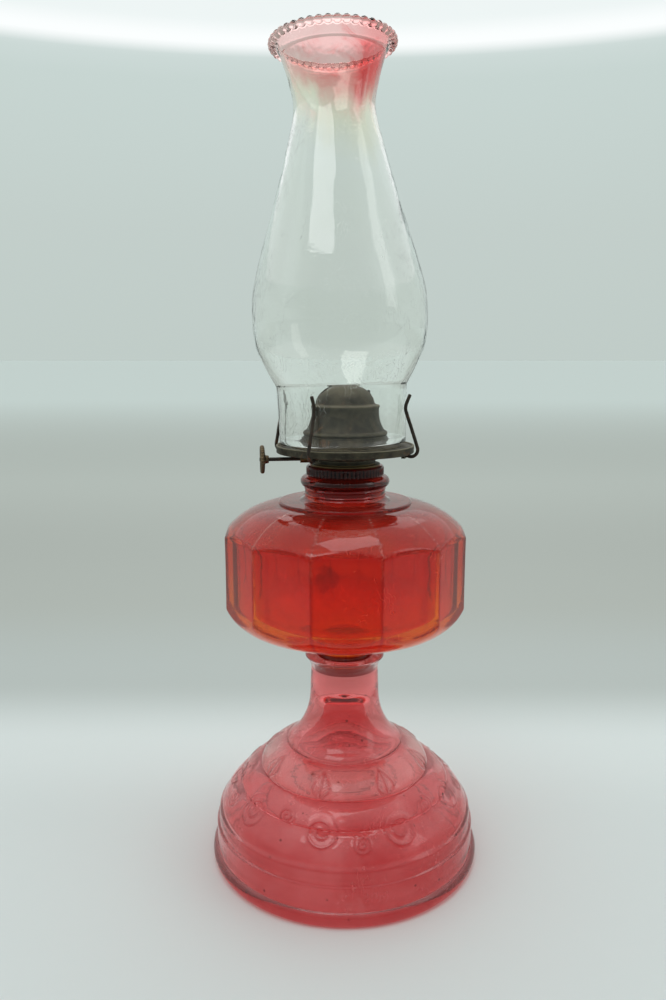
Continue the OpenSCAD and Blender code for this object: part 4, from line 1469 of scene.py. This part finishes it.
@dataclass
class Deflector:
    """Spun cone with a bead at its foot, a ledge, and a slotted dome."""

    sheet: float = 0.5 * MM
    ledge_h: float = 22.9 * MM
    bead_h: float = 7.6 * MM
    slot_w: float = 7 * MM
    tube_half_w: float = 13.6 * MM

    def outline(self) -> list[Point]:
        """Loop of the sheet: outside from the flange to the dome, and back along the inside.

        Returns:
            Points as (radius, height).
        """
        low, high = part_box("deflector")
        z, top, flange = low.z, high.z, high.x
        s = self.sheet
        dome = self.tube_half_w + 3.2 * MM
        cone = dome + 2.5 * MM
        foot = cone + 4.8 * MM
        ledge, bead = z + self.ledge_h, z + self.bead_h
        out = [(flange, z), (flange, z + 0.35 * MM), (flange - 0.2 * MM, z + s)]
        out += arc((flange - 0.9 * MM, z + 0.95 * MM), (foot, bead - 2.6 * MM), -1 * MM, 10)
        out += [(foot - 0.7 * MM, bead - 1.9 * MM), (foot - 0.9 * MM, bead - 1.55 * MM)]
        out += arc((foot - 0.55 * MM, bead - 1.2 * MM), (foot - 1.2 * MM, bead + 1 * MM), 0.72 * MM, 8)
        out += [(foot - 1.75 * MM, bead + 1.2 * MM)]
        out += arc((foot - 2 * MM, bead + 1.5 * MM), (cone, ledge - 0.7 * MM), -1.3 * MM, 14)
        out += [(cone + 0.02 * MM, ledge - 0.3 * MM), (cone - 0.2 * MM, ledge),
                (cone - 0.6 * MM, ledge + 0.15 * MM), (dome + 0.4 * MM, ledge + 0.75 * MM),
                (dome + 0.1 * MM, ledge + 0.95 * MM)]
        out += arc((dome, ledge + 1.2 * MM), (0, top), 4.3 * MM, 22)
        back = arc((dome - s, ledge + 1 * MM), (0, top - s), 4.2 * MM, 22)[::-1]
        back += [(dome - s, ledge + 0.4 * MM), (cone - s - 0.1 * MM, ledge - 0.8 * MM)]
        wall = arc((foot - 2 * MM - s, bead + 1.5 * MM), (cone - s, ledge - 0.9 * MM), -1.3 * MM, 14)
        back += wall[::-1][1:]
        back += [(foot - 1.4 * MM - s, bead - 1.4 * MM)]
        back += arc((flange - 1.3 * MM, z + 0.5 * MM), (foot - 0.5 * MM, bead - 3.1 * MM), -1 * MM, 8)[::-1]
        back += [(flange - 1.5 * MM, z)]
        return out + back

    def build(self, shop: Workshop) -> None:
        """Makes the deflector and cuts its slot along the spindle's direction.

        Args:
            shop: Where pieces get their materials and join the frame.
        """
        low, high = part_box("deflector")
        angles = around(300)

        def worn(r: np.ndarray, z: np.ndarray, a: np.ndarray) -> tuple[np.ndarray, np.ndarray]:
            """Sheet that has been taken off and pressed back many times.

            Args:
                r: Radii as a grid.
                z: Heights as a grid.
                a: Angles as a grid.

            Returns:
                The new radii and heights.
            """
            return r * (1 - 0.0035 * np.abs(ripple(a, z * 0.6, 8))), z

        outline = self.outline()
        height = np.array([[p[1]] for p in outline])
        # Rubbed rings on the ledge and bead, partly painted highlight; the lighter top of the dome is painted
        # highlight.
        rubbed_and_highlight = np.exp(-((height - low.z - self.ledge_h) / (0.7 * MM)) ** 2) * 0.6
        rubbed_and_highlight += np.exp(-((height - low.z - self.bead_h) / (0.8 * MM)) ** 2) * 0.35
        rubbed_and_highlight += rounded(height - low.z - self.ledge_h - 3 * MM, 6 * MM) * 0.25
        solid = Solid("flame_deflector")
        solid.revolve(outline, angles, worn, closed=True, worn=rubbed_and_highlight)
        piece = solid.finish(60)
        cutter = self.slot_cutter(high.z)
        cut = piece.modifiers.new("flame_slot", "BOOLEAN")
        cut.operation = "DIFFERENCE"
        cut.solver = "EXACT"
        cut.object = cutter
        graph = bpy.context.evaluated_depsgraph_get()
        result = bpy.data.meshes.new_from_object(piece.evaluated_get(graph))
        piece.modifiers.clear()
        piece.data = result
        bpy.data.objects.remove(cutter)
        result.shade_smooth()
        result.set_sharp_from_angle(angle=math.radians(50))
        shop.fit(piece, "deflector_cone", "aged_brass", Finish.PATINA, "deflector")

    def slot_cutter(self, top: float) -> bpy.types.Object:
        """Long block with round ends that cuts the flame slot.

        Args:
            top: Height of the dome's top.

        Returns:
            The block, to be cut away and removed.
        """
        azimuth = spindle_azimuth()
        half_l, half_w = self.tube_half_w + 0.8 * MM, self.slot_w / 2
        outline = []
        for side in (1, -1):
            for k in range(17):
                a = math.pi * (k / 16 - 0.5)
                outline.append((side * (half_l - half_w + half_w * math.cos(a)), side * half_w * math.sin(a)))
        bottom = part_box("deflector")[0].z + self.ledge_h + 1.6 * MM
        c, s = math.cos(azimuth), math.sin(azimuth)
        rings = [[(x * c - y * s, x * s + y * c, z) for x, y in outline] for z in (bottom, top + 5 * MM)]
        count = len(outline)
        faces: list[tuple[int, ...]] = [tuple(range(count))[::-1], tuple(range(count, 2 * count))]
        faces += [(k, (k + 1) % count, (k + 1) % count + count, k + count) for k in range(count)]
        block = Solid("slot_cutter")
        block.add(np.array(rings[0] + rings[1]), faces)
        return block.finish()


def joint(name: str) -> dict:
    """The frame's joint of that name.

    Args:
        name: Name of the joint.

    Returns:
        Its entry, with pos_m and axis.
    """
    return next(j for j in frame["joints"] if j["name"] == name)


def spindle_azimuth() -> float:
    """Direction of the wick spindle towards its knob, seen from above.

    Returns:
        The angle in radians.
    """
    axis = joint("wick_turn")["axis"]
    return math.atan2(axis[1], axis[0])


@dataclass
class Prongs:
    """Four sprung wires that hold the chimney."""

    wire_r: float = 0.875 * MM
    coat: float = 0.1 * MM
    hook_reach: float = 10.6 * MM
    hook_drop: float = 4.5 * MM
    hook_bend: float = 4 * MM
    hold_bend: float = 6 * MM
    hold_h: float = 22.3 * MM
    fitter_r: float = 35.8 * MM
    fitter_flare: float = 1.1 * MM
    fitter_h: float = 32.4 * MM
    lean_shift: float = 1.7 * MM
    wire_gap: float = 0.5 * MM

    def touch_radius(self, azimuth: float) -> float:
        """Radius at which the wire's middle passes the leaning chimney.

        Args:
            azimuth: Direction of the prong.

        Returns:
            The radius.
        """
        axis = joint("chimney_lift")["axis"]
        lean_to = math.atan2(axis[1], axis[0])
        slope = math.hypot(axis[0], axis[1]) / axis[2]
        plain = self.fitter_r + self.fitter_flare * self.hold_h / self.fitter_h + self.wire_r + self.wire_gap
        return plain + (self.lean_shift + self.hold_h * slope) * math.cos(azimuth - lean_to)

    def bent(self, points: Sequence[Point], bends: Sequence[float]) -> list[Point]:
        """Rounds the inner points of a line.

        Args:
            points: The line, as (radius, height).
            bends: Bend radius at each point.

        Returns:
            A fine line with round bends.
        """
        line = [points[0]]
        for i in range(1, len(points) - 1):
            p, q, s = (np.array(points[k]) for k in (i - 1, i, i + 1))
            u, v = (q - p) / np.linalg.norm(q - p), (s - q) / np.linalg.norm(s - q)
            swing = math.atan2(u[0] * v[1] - u[1] * v[0], float(u @ v))
            trim = bends[i] * math.tan(abs(swing) / 2)
            side = 1 if swing > 0 else -1
            centre = q - u * trim + side * bends[i] * np.array([-u[1], u[0]])
            start = q - u * trim - centre
            for k in range(13):
                a = swing * k / 12
                turned = np.array([start[0] * math.cos(a) - start[1] * math.sin(a),
                                   start[0] * math.sin(a) + start[1] * math.cos(a)])
                line.append(tuple(centre + turned))
        line.append(points[-1])
        return refine(line, 0.9 * MM)

    def build(self, shop: Workshop) -> None:
        """Makes each prong on its own body.

        Args:
            shop: Where pieces get their materials and join the frame.
        """
        for number, name in enumerate(("front_left", "front_right", "back_right", "back_left")):
            pivot = joint(name + "_flex")["pos_m"]
            azimuth = math.atan2(pivot[1], pivot[0])
            pivot_r = math.hypot(pivot[0], pivot[1])
            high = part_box("prong_" + name)[1].z
            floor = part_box("gallery")[1].z - 0.7 * MM
            touch = self.touch_radius(azimuth)
            tip = high - 0.35 * MM
            line = self.bent([(pivot_r - 0.5 * MM, pivot[2] + 0.1 * MM),
                              (pivot_r + self.hook_reach, pivot[2] - self.hook_drop),
                              (touch - 0.45 * MM, floor + self.hold_h),
                              (touch + (tip - floor - self.hold_h) * 0.33, tip)],
                             [0, self.hook_bend, self.hold_bend, 0])
            draw = np.random.default_rng(40 + number)
            phase = draw.uniform(0, TAU, 3)
            path, radii = [], []
            for i, (r, z) in enumerate(line):
                away = 0.09 * MM * math.sin(i * 0.31 + phase[0]) + 0.06 * MM * math.sin(i * 0.73 + phase[1])
                path.append(Vector((r * math.cos(azimuth) - away * math.sin(azimuth),
                                    r * math.sin(azimuth) + away * math.cos(azimuth), z)))
                radii.append((self.wire_r + self.coat) * (0.985 + 0.02 * math.sin(i * 1.7 + phase[2])))
            ahead = (path[-1] - path[-2]).normalized()
            for narrow in (0.97, 0.85, 0.55):
                path.append(path[-1] + ahead * 0.12 * MM)
                radii.append(self.wire_r * narrow)
            solid = Solid("prong_wire_" + name)
            solid.sweep(path, radii)
            shop.fit(solid.finish(50), name + "_prong", "dark_wire", Finish.WIRE, "prong_" + name)


@dataclass
class WickDrive:
    """Spindle with its knob; the spur wheels stay as they are."""

    spindle_r: float = 1.1 * MM
    knob_r: float = 7.9 * MM
    disc_t: float = 1.2 * MM
    notches: int = 28

    def placing(self, along: float) -> Matrix:
        """Puts local +Z on the spindle's axis.

        Args:
            along: Distance from the lamp's axis.

        Returns:
            The placing.
        """
        j = joint("wick_turn")
        axis = Vector(j["axis"])
        turn = Vector((0, 0, 1)).rotation_difference(axis).to_matrix().to_4x4()
        return Matrix.Translation(Vector(j["pos_m"]) + axis * along) @ turn

    def knob_distance(self) -> float:
        """Distance of the knob's middle from the lamp's axis, read from the frame's mesh.

        Returns:
            The distance.
        """
        axis = Vector(joint("wick_turn")["axis"])
        reach = [v.co.dot(axis) for v in frame["nodes"]["wick_knob"].data.vertices]
        return max(reach) - self.disc_t

    def knob(self, shop: Workshop) -> None:
        """Thin dished wheel with a beaded edge and a cone hub.

        Args:
            shop: Where pieces get their materials and join the frame.
        """
        r, t = self.knob_r, self.disc_t
        outline = [(self.spindle_r, -3.6 * MM), (1.7 * MM, -3.6 * MM), (2.1 * MM, -3.4 * MM)]
        outline += curve([(2.2 * MM, -3.1 * MM), (2.45 * MM, -1.8 * MM), (3.4 * MM, -1.35 * MM),
                          (r * 0.6, -t), (r - 1 * MM, -t)], 5)
        outline += arc((r - 0.7 * MM, -t * 0.95), (r, -t * 0.3), 0.12 * MM, 4)
        outline += arc((r, t * 0.4), (r - 0.8 * MM, t), 0.14 * MM, 4)
        outline += curve([(r - 1.1 * MM, t * 0.95), (r * 0.64, t * 0.2), (3.4 * MM, t * 0.1),
                          (2.5 * MM, t * 0.3), (2.1 * MM, t * 0.8)], 5)
        outline += [(1.8 * MM, t), (self.spindle_r, t)]

        def milled(radius: np.ndarray, height: np.ndarray,
                   angle: np.ndarray) -> tuple[np.ndarray, np.ndarray]:
            """Notches in the edge and a slight buckle of the disc.

            Args:
                radius: Radii as a grid.
                height: Heights as a grid.
                angle: Angles as a grid.

            Returns:
                The new radii and heights.
            """
            near_edge = rounded(radius - (r - 1.2 * MM), 1 * MM)
            cut = 0.34 * MM * (0.5 + 0.5 * np.cos(self.notches * angle)) ** 2
            buckle = 0.1 * MM * np.sin(2 * angle + 0.7) * rounded(radius - 3 * MM, 3 * MM)
            return radius - cut * near_edge, height * (1 - 0.03 * near_edge) + buckle * (1 - near_edge)

        solid = Solid("wick_knob_wheel")
        solid.revolve(outline, around(336), milled, place=self.placing(self.knob_distance()))
        shop.fit(solid.finish(55), "wick_drive", "knob_brass", Finish.KNOB, "wick_knob")

    def build(self, shop: Workshop) -> None:
        """Makes the knob and the spindle and dresses the wheels.

        Args:
            shop: Where pieces get their materials and join the frame.
        """
        self.knob(shop)
        axis = Vector(joint("wick_turn")["axis"])
        along = [v.co.dot(axis) for v in frame["nodes"]["wick_spindle"].data.vertices]
        start, end = min(along) + 0.02 * MM, max(along) - 0.02 * MM
        r = self.spindle_r
        outline = [(0, 0), (r - 0.25 * MM, 0), (r - 0.02 * MM, 0.25 * MM)]
        outline += refine([(r - 0.02 * MM, 0.4 * MM), (r - 0.02 * MM, end - start - 0.4 * MM)], 0.8 * MM)
        outline += [(r - 0.02 * MM, end - start - 0.25 * MM), (r - 0.25 * MM, end - start), (0, end - start)]

        def hammered(radius: np.ndarray, height: np.ndarray,
                     angle: np.ndarray) -> tuple[np.ndarray, np.ndarray]:
            """Faint flats and scale along the rod.

            Args:
                radius: Radii as a grid.
                height: Heights as a grid.
                angle: Angles as a grid.

            Returns:
                The new radii and heights.
            """
            return radius - 0.03 * MM * np.abs(ripple(angle, height * 6, 17)), height

        solid = Solid("wick_spindle_rod")
        solid.revolve(outline, around(32), hammered, closed=False, place=self.placing(start))
        shop.fit(solid.finish(50), "wick_drive", "dark_wire", Finish.WIRE, "wick_spindle")
        shop.dress("spur_wheel_inner", Finish.DULL_BRASS)
        shop.dress("spur_wheel_outer", Finish.DULL_BRASS)


@dataclass
class Wick:
    """Flat woven wick with a singed end."""

    width: float = 25.4 * MM
    thickness: float = 3 * MM
    rib: float = 1.25 * MM
    pick: float = 1.5 * MM

    def build(self, shop: Workshop) -> None:
        """Makes the wick's woven skin as one closed sleeve of cloth.

        Args:
            shop: Where pieces get their materials and join the frame.
        """
        low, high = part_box("wick")
        azimuth = spindle_azimuth()
        half_w, half_t = self.width / 2, self.thickness / 2
        section = []
        flat = half_w - half_t
        count = 120
        length = 4 * flat + TAU * half_t
        for k in range(count):
            s = length * k / count
            if s < 2 * flat:
                section.append((flat - s, half_t, 0.0, 1.0, s))
            elif s < 2 * flat + math.pi * half_t:
                a = math.pi / 2 + (s - 2 * flat) / half_t
                c, d = math.cos(a), math.sin(a)
                section.append((-flat + half_t * c, half_t * d, c, d, s))
            elif s < 4 * flat + math.pi * half_t:
                section.append((-flat + s - 2 * flat - math.pi * half_t, -half_t, 0.0, -1.0, s))
            else:
                a = -math.pi / 2 + (s - 4 * flat - math.pi * half_t) / half_t
                c, d = math.cos(a), math.sin(a)
                section.append((flat + half_t * c, half_t * d, c, d, s))
        heights = np.arange(low.z + 0.2 * MM, high.z - 0.3 * MM, 0.4 * MM)
        rows = []
        draw = np.random.default_rng(3)
        fray = draw.uniform(-1, 1, count)
        for z in heights:
            for x, y, nx, ny, s in section:
                weave = math.cos(TAU * s / self.rib) * math.cos(TAU * z / self.pick)
                sink = 0.16 * MM * (1 - weave)
                rows.append((x - nx * sink, y - ny * sink, z))
        points = np.array(rows).reshape(len(heights), count, 3)
        points[-1, :, 2] += fray * 0.25 * MM
        points[-1, :, :2] *= 0.97
        singed = rounded(points[..., 2] - (high.z - 4 * MM), 3 * MM)
        turn = np.array([[math.cos(azimuth), math.sin(azimuth)], [-math.sin(azimuth), math.cos(azimuth)]])
        points[..., :2] = points[..., :2] @ turn
        grid = np.arange(len(heights) * count).reshape(len(heights), count)
        faces: list[tuple[int, ...]] = []
        for i in range(len(heights) - 1):
            for j in range(count):
                k = (j + 1) % count
                faces.append((grid[i, j], grid[i, k], grid[i + 1, k], grid[i + 1, j]))
        faces.append(tuple(grid[0])[::-1])
        faces.append(tuple(grid[-1]))
        solid = Solid("woven_wick")
        solid.add(points.reshape(-1, 3), faces, singed=singed.ravel())
        shop.fit(solid.finish(70), "wick_strip", "wick_cotton", Finish.COTTON, "wick")


# ---- chimney ----------------------------------------------------------------------------------------


@dataclass
class Chimney:
    """Blown chimney with a bead-top crown, leaning on the edge of its foot."""

    wall: float = 1.9 * MM
    foot_r: float = 35.8 * MM
    foot_z: float = 248.2 * MM
    fitter_h: float = 32.4 * MM
    fitter_flare: float = 1.1 * MM
    bulge_r: float = 49 * MM
    bulge_rise: float = 39.5 * MM
    throat_r: float = 22.3 * MM
    throat_rise: float = 106.2 * MM
    crown_rise: float = 36 * MM
    crown_r: float = 34.65 * MM
    bead_r: float = 2.25 * MM
    beads: int = 44
    lean_shift: float = 1.7 * MM
    fold_at: float = math.radians(38)

    def side(self, inset: float, steps: int = 9) -> list[Point]:
        """Outline up the side, set inwards by an amount.

        Args:
            inset: Distance inside the chimney's outside.
            steps: Straight pieces in each span.

        Returns:
            Points as (radius, height).
        """
        fitter_r = self.foot_r + self.fitter_flare
        fitter_z = self.foot_z + self.fitter_h
        bulge_z = fitter_z + self.bulge_rise
        throat_z = bulge_z + self.throat_rise
        b, t = self.bulge_r - inset, self.throat_r - inset
        return curve([
            (fitter_r - inset, fitter_z),
            (b - 5.7 * MM, fitter_z + self.bulge_rise * 0.31),
            (b - 0.9 * MM, bulge_z - 14 * MM),
            (b - 0.4 * MM, bulge_z + 7 * MM),
            (b - 4.3 * MM, bulge_z + self.throat_rise * 0.24),
            ((self.bulge_r + self.throat_r) / 2 - inset - 2.4 * MM, bulge_z + self.throat_rise * 0.6),
            (t + 5.2 * MM, throat_z - 22 * MM),
            (t, throat_z),
            (t + 2.1 * MM, throat_z + self.crown_rise * 0.42),
            (t + 6 * MM, throat_z + self.crown_rise * 0.79),
        ], steps)

    def leaning(self) -> Matrix:
        """Leans the upright chimney on the edge of its foot, as the frame's chimney stands.

        Returns:
            The placing.
        """
        axis = joint("chimney_lift")["axis"]
        azimuth = math.atan2(axis[1], axis[0])
        lean = math.atan2(math.hypot(axis[0], axis[1]), axis[2])
        turn = Matrix.Rotation(azimuth, 4, "Z")
        to_edge = Matrix.Translation((self.lean_shift + self.foot_r, 0, self.foot_z))
        back = Matrix.Translation((-self.foot_r, 0, -self.foot_z))
        return turn @ to_edge @ Matrix.Rotation(lean, 4, "Y") @ back @ turn.inverted()

    def build(self, shop: Workshop) -> None:
        """Makes the chimney as one wall with a beaded edge.

        Args:
            shop: Where pieces get their materials and join the frame.
        """
        crown_z = self.foot_z + self.fitter_h + self.bulge_rise + self.throat_rise + self.crown_rise
        ring_r, bead_z = self.crown_r - self.bead_r, crown_z - self.bead_r
        outer = arc((self.foot_r - self.wall / 2, self.foot_z), (self.foot_r, self.foot_z + 0.7 * MM),
                    0.2 * MM, 4)
        outer += self.side(0)
        inner = self.side(self.wall)[::-1]
        inner += arc((self.foot_r - self.wall, self.foot_z + 0.7 * MM),
                     (self.foot_r - self.wall / 2, self.foot_z), 0.2 * MM, 4)[:-1]
        join = 0.62
        lip = []
        for k in range(21):
            a = math.radians(-128 + 302 * k / 20)
            lip.append((math.cos(a), math.sin(a)))
        lip_line = [(ring_r + c * self.bead_r * join, bead_z + s * self.bead_r * join) for c, s in lip]
        body = refine(outer, 3 * MM)
        inside = refine(inner, 3 * MM)
        outline = body + lip_line + inside
        angles = around(self.beads * 14)
        first, last = len(body), len(body) + len(lip_line)
        width = math.pi * ring_r / self.beads

        def beaded(radius: np.ndarray, height: np.ndarray,
                   angle: np.ndarray) -> tuple[np.ndarray, np.ndarray]:
            """Swells the lip into beads, flutes the glass under it and adds slow waves.

            Args:
                radius: Radii as a grid.
                height: Heights as a grid.
                angle: Angles as a grid.

            Returns:
                The new radii and heights.
            """
            step = TAU / self.beads
            off = np.mod(angle + math.pi / 2, step) - step / 2
            across = np.clip(np.abs(off) * ring_r / width, 0, 1)
            swell = np.maximum(np.sqrt(np.clip(1 - across ** 2, 0, 1)), 0.5)
            inside_lip = np.zeros(radius.shape)
            inside_lip[first:last] = rounded(np.linspace(-128, 174, last - first) - 55, 50)[:, None]
            swell = swell * (1 - inside_lip) + 0.72 * inside_lip
            r, z = radius.copy(), height.copy()
            dr, dz = radius - ring_r, height - bead_z
            grow = swell / join
            r[first:last] = ring_r + dr[first:last] * grow[first:last]
            z[first:last] = bead_z + dz[first:last] * grow[first:last]
            flute = rounded(height - (bead_z - 6 * MM), 5 * MM)
            flute = flute * (1 - rounded(height - (bead_z - 1.2 * MM), 2 * MM))
            r[:first] -= 0.16 * MM * np.abs(np.cos(off / step * TAU) * flute)[:first]
            wave = ripple(angle, height, 31) * 0.22 * MM * rounded(height - self.foot_z, 20 * MM)
            calm = rounded(crown_z - 6 * MM - height, 12 * MM)
            return r - np.abs(wave) * calm, z

        bead = np.zeros((len(outline), 1))
        bead[first - 1:first + 14] = 1.0
        rows_z, rows_a = np.meshgrid([p[1] for p in outline], angles, indexing="ij")
        # Painted highlight (fold) and painted shade (fold_shade) of a fold in the crown; the mesh has no
        # fold.
        turned = np.mod(rows_a - self.fold_at + math.pi, TAU) - math.pi
        where = rounded(rows_z - (crown_z - 30 * MM), 8 * MM) * rounded(crown_z - 6 * MM - rows_z, 4 * MM)
        fold = np.exp(-(turned / 0.028) ** 2) * where
        fold_shade = np.exp(-((turned - 0.13) / 0.09) ** 2) * where
        solid = Solid("bead_top_chimney")
        solid.revolve(outline, angles, beaded, place=self.leaning(), bead=bead, fold=fold,
                      fold_shade=fold_shade)
        shop.fit(solid.finish(65), "glass_chimney", "clear_glass", Finish.CLEAR, "chimney")


# ---- studio -----------------------------------------------------------------------------------------


@dataclass
class Studio:
    """Pale floor, soft light and the camera."""

    eye: tuple[float, float, float] = (-6.89 * MM, -461.2 * MM, 300.2 * MM)
    pitch_deg: float = 10.29
    lens: float = 29.26
    floor_half: float = 30.0
    front_dim: float = 0.4
    air: tuple[tuple[float, Colour], ...] = (
        (0.0, (0.53, 0.605, 0.577)), (0.14, (0.545, 0.62, 0.593)), (0.29, (0.575, 0.668, 0.643)),
        (0.312, (0.61, 0.7, 0.68)), (0.323, (0.97, 1.0, 1.0)), (0.33, (0.97, 1.0, 1.0)),
        (0.345, (0.86, 0.92, 0.915)), (1.0, (0.78, 0.82, 0.81)))

    def camera(self) -> None:
        """Places the camera at the lamp's front, a little above its middle."""
        data = bpy.data.cameras.new("front_camera")
        data.lens = self.lens
        data.sensor_width = 36
        data.clip_start = 0.01
        data.clip_end = 200
        camera = bpy.data.objects.new("front_camera", data)
        camera.location = self.eye
        camera.rotation_euler = (math.radians(90 - self.pitch_deg), 0, 0)
        bpy.context.scene.collection.objects.link(camera)
        bpy.context.scene.camera = camera

    def floor(self) -> None:
        """Wide floor whose colour turns from white by the lamp to a soft grey behind it, with painted light
        and shade of a paper sweep: a dark stretch in front, a bright band, a shaded bend.
        """
        mesh = bpy.data.meshes.new("studio_floor")
        h = self.floor_half
        mesh.from_pydata([(-h, -h, 0), (h, -h, 0), (h, h, 0), (-h, h, 0)], [], [(0, 1, 2, 3)])
        floor = bpy.data.objects.new("studio_floor", mesh)
        bpy.context.scene.collection.objects.link(floor)
        r = Recipe("studio_paper")
        depth = r.node("SeparateXYZ", {0: r.place}).outputs["Y"]
        # Painted light and shade by depth: dark in front, a painted bright band behind the lamp, a painted
        # shaded bend, dimmer paper, a lighter far end.
        near = r.blend(r.spread(depth, -0.5, -0.3), (0.3, 0.32, 0.31), (0.69, 0.74, 0.73))
        band = r.blend(r.spread(depth, 0.02, 0.12), near, (0.74, 0.79, 0.78))
        fold = r.blend(r.spread(depth, 0.13, 0.25), band, (0.52, 0.56, 0.54))
        shaded_dim = r.blend(r.spread(depth, 0.27, 0.5), fold, (0.49, 0.515, 0.48))
        rise = r.blend(r.spread(depth, 0.7, 1.5), shaded_dim, (0.58, 0.615, 0.575))
        far = r.blend(r.spread(depth, 1.6, 5.0), rise, (0.78, 0.86, 0.83))
        grain = r.noise(90, 5, 0.6)
        colour = r.blend(0.05, far, r.blend(grain, (0.7, 0.7, 0.7), (0.95, 0.95, 0.95)), "MULTIPLY")
        r.surface(Base_Color=colour, Roughness=0.85, Normal=r.bump(grain, 0.0001))
        mesh.materials.append(r.material)

    def softbox(self, name: str, place: Sequence[float], aim: Sequence[float], size: Point, power: float,
                colour: Colour = (1, 1, 1)) -> None:
        """Adds a rectangular lamp.

        Args:
            name: Its name.
            place: Where it hangs.
            aim: The point it faces.
            size: Width and height.
            power: Power in watts.
            colour: Colour of its light.
        """
        data = bpy.data.lights.new(name, "AREA")
        data.shape = "RECTANGLE"
        data.size, data.size_y = size
        data.energy = power
        data.color = colour
        lamp = bpy.data.objects.new(name, data)
        lamp.location = place
        away = Vector(place) - Vector(aim)
        lamp.rotation_euler = away.to_track_quat("Z", "Y").to_euler()
        bpy.context.scene.collection.objects.link(lamp)

    def sky(self) -> None:
        """Pale grey-green surroundings, brighter overhead."""
        world = bpy.data.worlds.new("studio_air")
        world.use_nodes = True
        tree = world.node_tree
        tree.nodes.clear()
        out = tree.nodes.new("ShaderNodeOutputWorld")
        back = tree.nodes.new("ShaderNodeBackground")
        split = tree.nodes.new("ShaderNodeSeparateXYZ")
        where = tree.nodes.new("ShaderNodeTexCoord")
        ramp = tree.nodes.new("ShaderNodeValToRGB")
        front = tree.nodes.new("ShaderNodeMapRange")
        shade = tree.nodes.new("ShaderNodeMix")
        shade.data_type = "RGBA"
        shade.blend_type = "MULTIPLY"
        shade.inputs[0].default_value = 1.0
        front.inputs["From Min"].default_value = -0.75
        front.inputs["From Max"].default_value = -0.2
        front.inputs["To Min"].default_value = self.front_dim
        tree.links.new(where.outputs["Generated"], split.inputs[0])
        tree.links.new(split.outputs["Z"], ramp.inputs[0])
        tree.links.new(split.outputs["Y"], front.inputs["Value"])
        stops = ramp.color_ramp.elements
        stops[0].position, stops[0].color = 0.0, (*self.air[0][1], 1)
        stops[1].position, stops[1].color = 1.0, (*self.air[-1][1], 1)
        for place, colour in self.air[1:-1]:
            stops.new(place).color = (*colour, 1)
        tree.links.new(ramp.outputs[0], shade.inputs[6])
        tree.links.new(front.outputs[0], shade.inputs[7])
        tree.links.new(shade.outputs[2], back.inputs[0])
        tree.links.new(back.outputs[0], out.inputs[0])
        bpy.context.scene.world = world

    def build(self) -> None:
        """Sets the stage."""
        self.camera()
        self.floor()
        self.sky()
        aim = (0, 0, 0.2)
        self.softbox("key_softbox", (-0.35, -0.6, 1.15), aim, (0.6, 0.4), 1.5)
        self.softbox("top_softbox", (0.05, -0.08, 1.5), aim, (0.75, 0.45), 2.2)
        self.softbox("fill_softbox", (0.95, -0.35, 0.8), aim, (0.3, 0.8), 0.7, (1, 0.99, 0.97))
        self.softbox("back_softbox", (0.1, 1.1, 1.3), aim, (1.2, 0.6), 1.2)
        scene = bpy.context.scene
        scene.view_settings.view_transform = "Standard"


def main() -> None:
    """Builds the studio and the lamp, piece by piece."""
    logging.basicConfig(level=logging.INFO, format="%(name)s: %(message)s")
    Studio().build()
    shop = Workshop()
    for assembly in (Pedestal(), Font(), Burner(), Deflector(), Prongs(), WickDrive(), Wick(), Chimney()):
        assembly.build(shop)


if __name__ == "__main__":
    main()
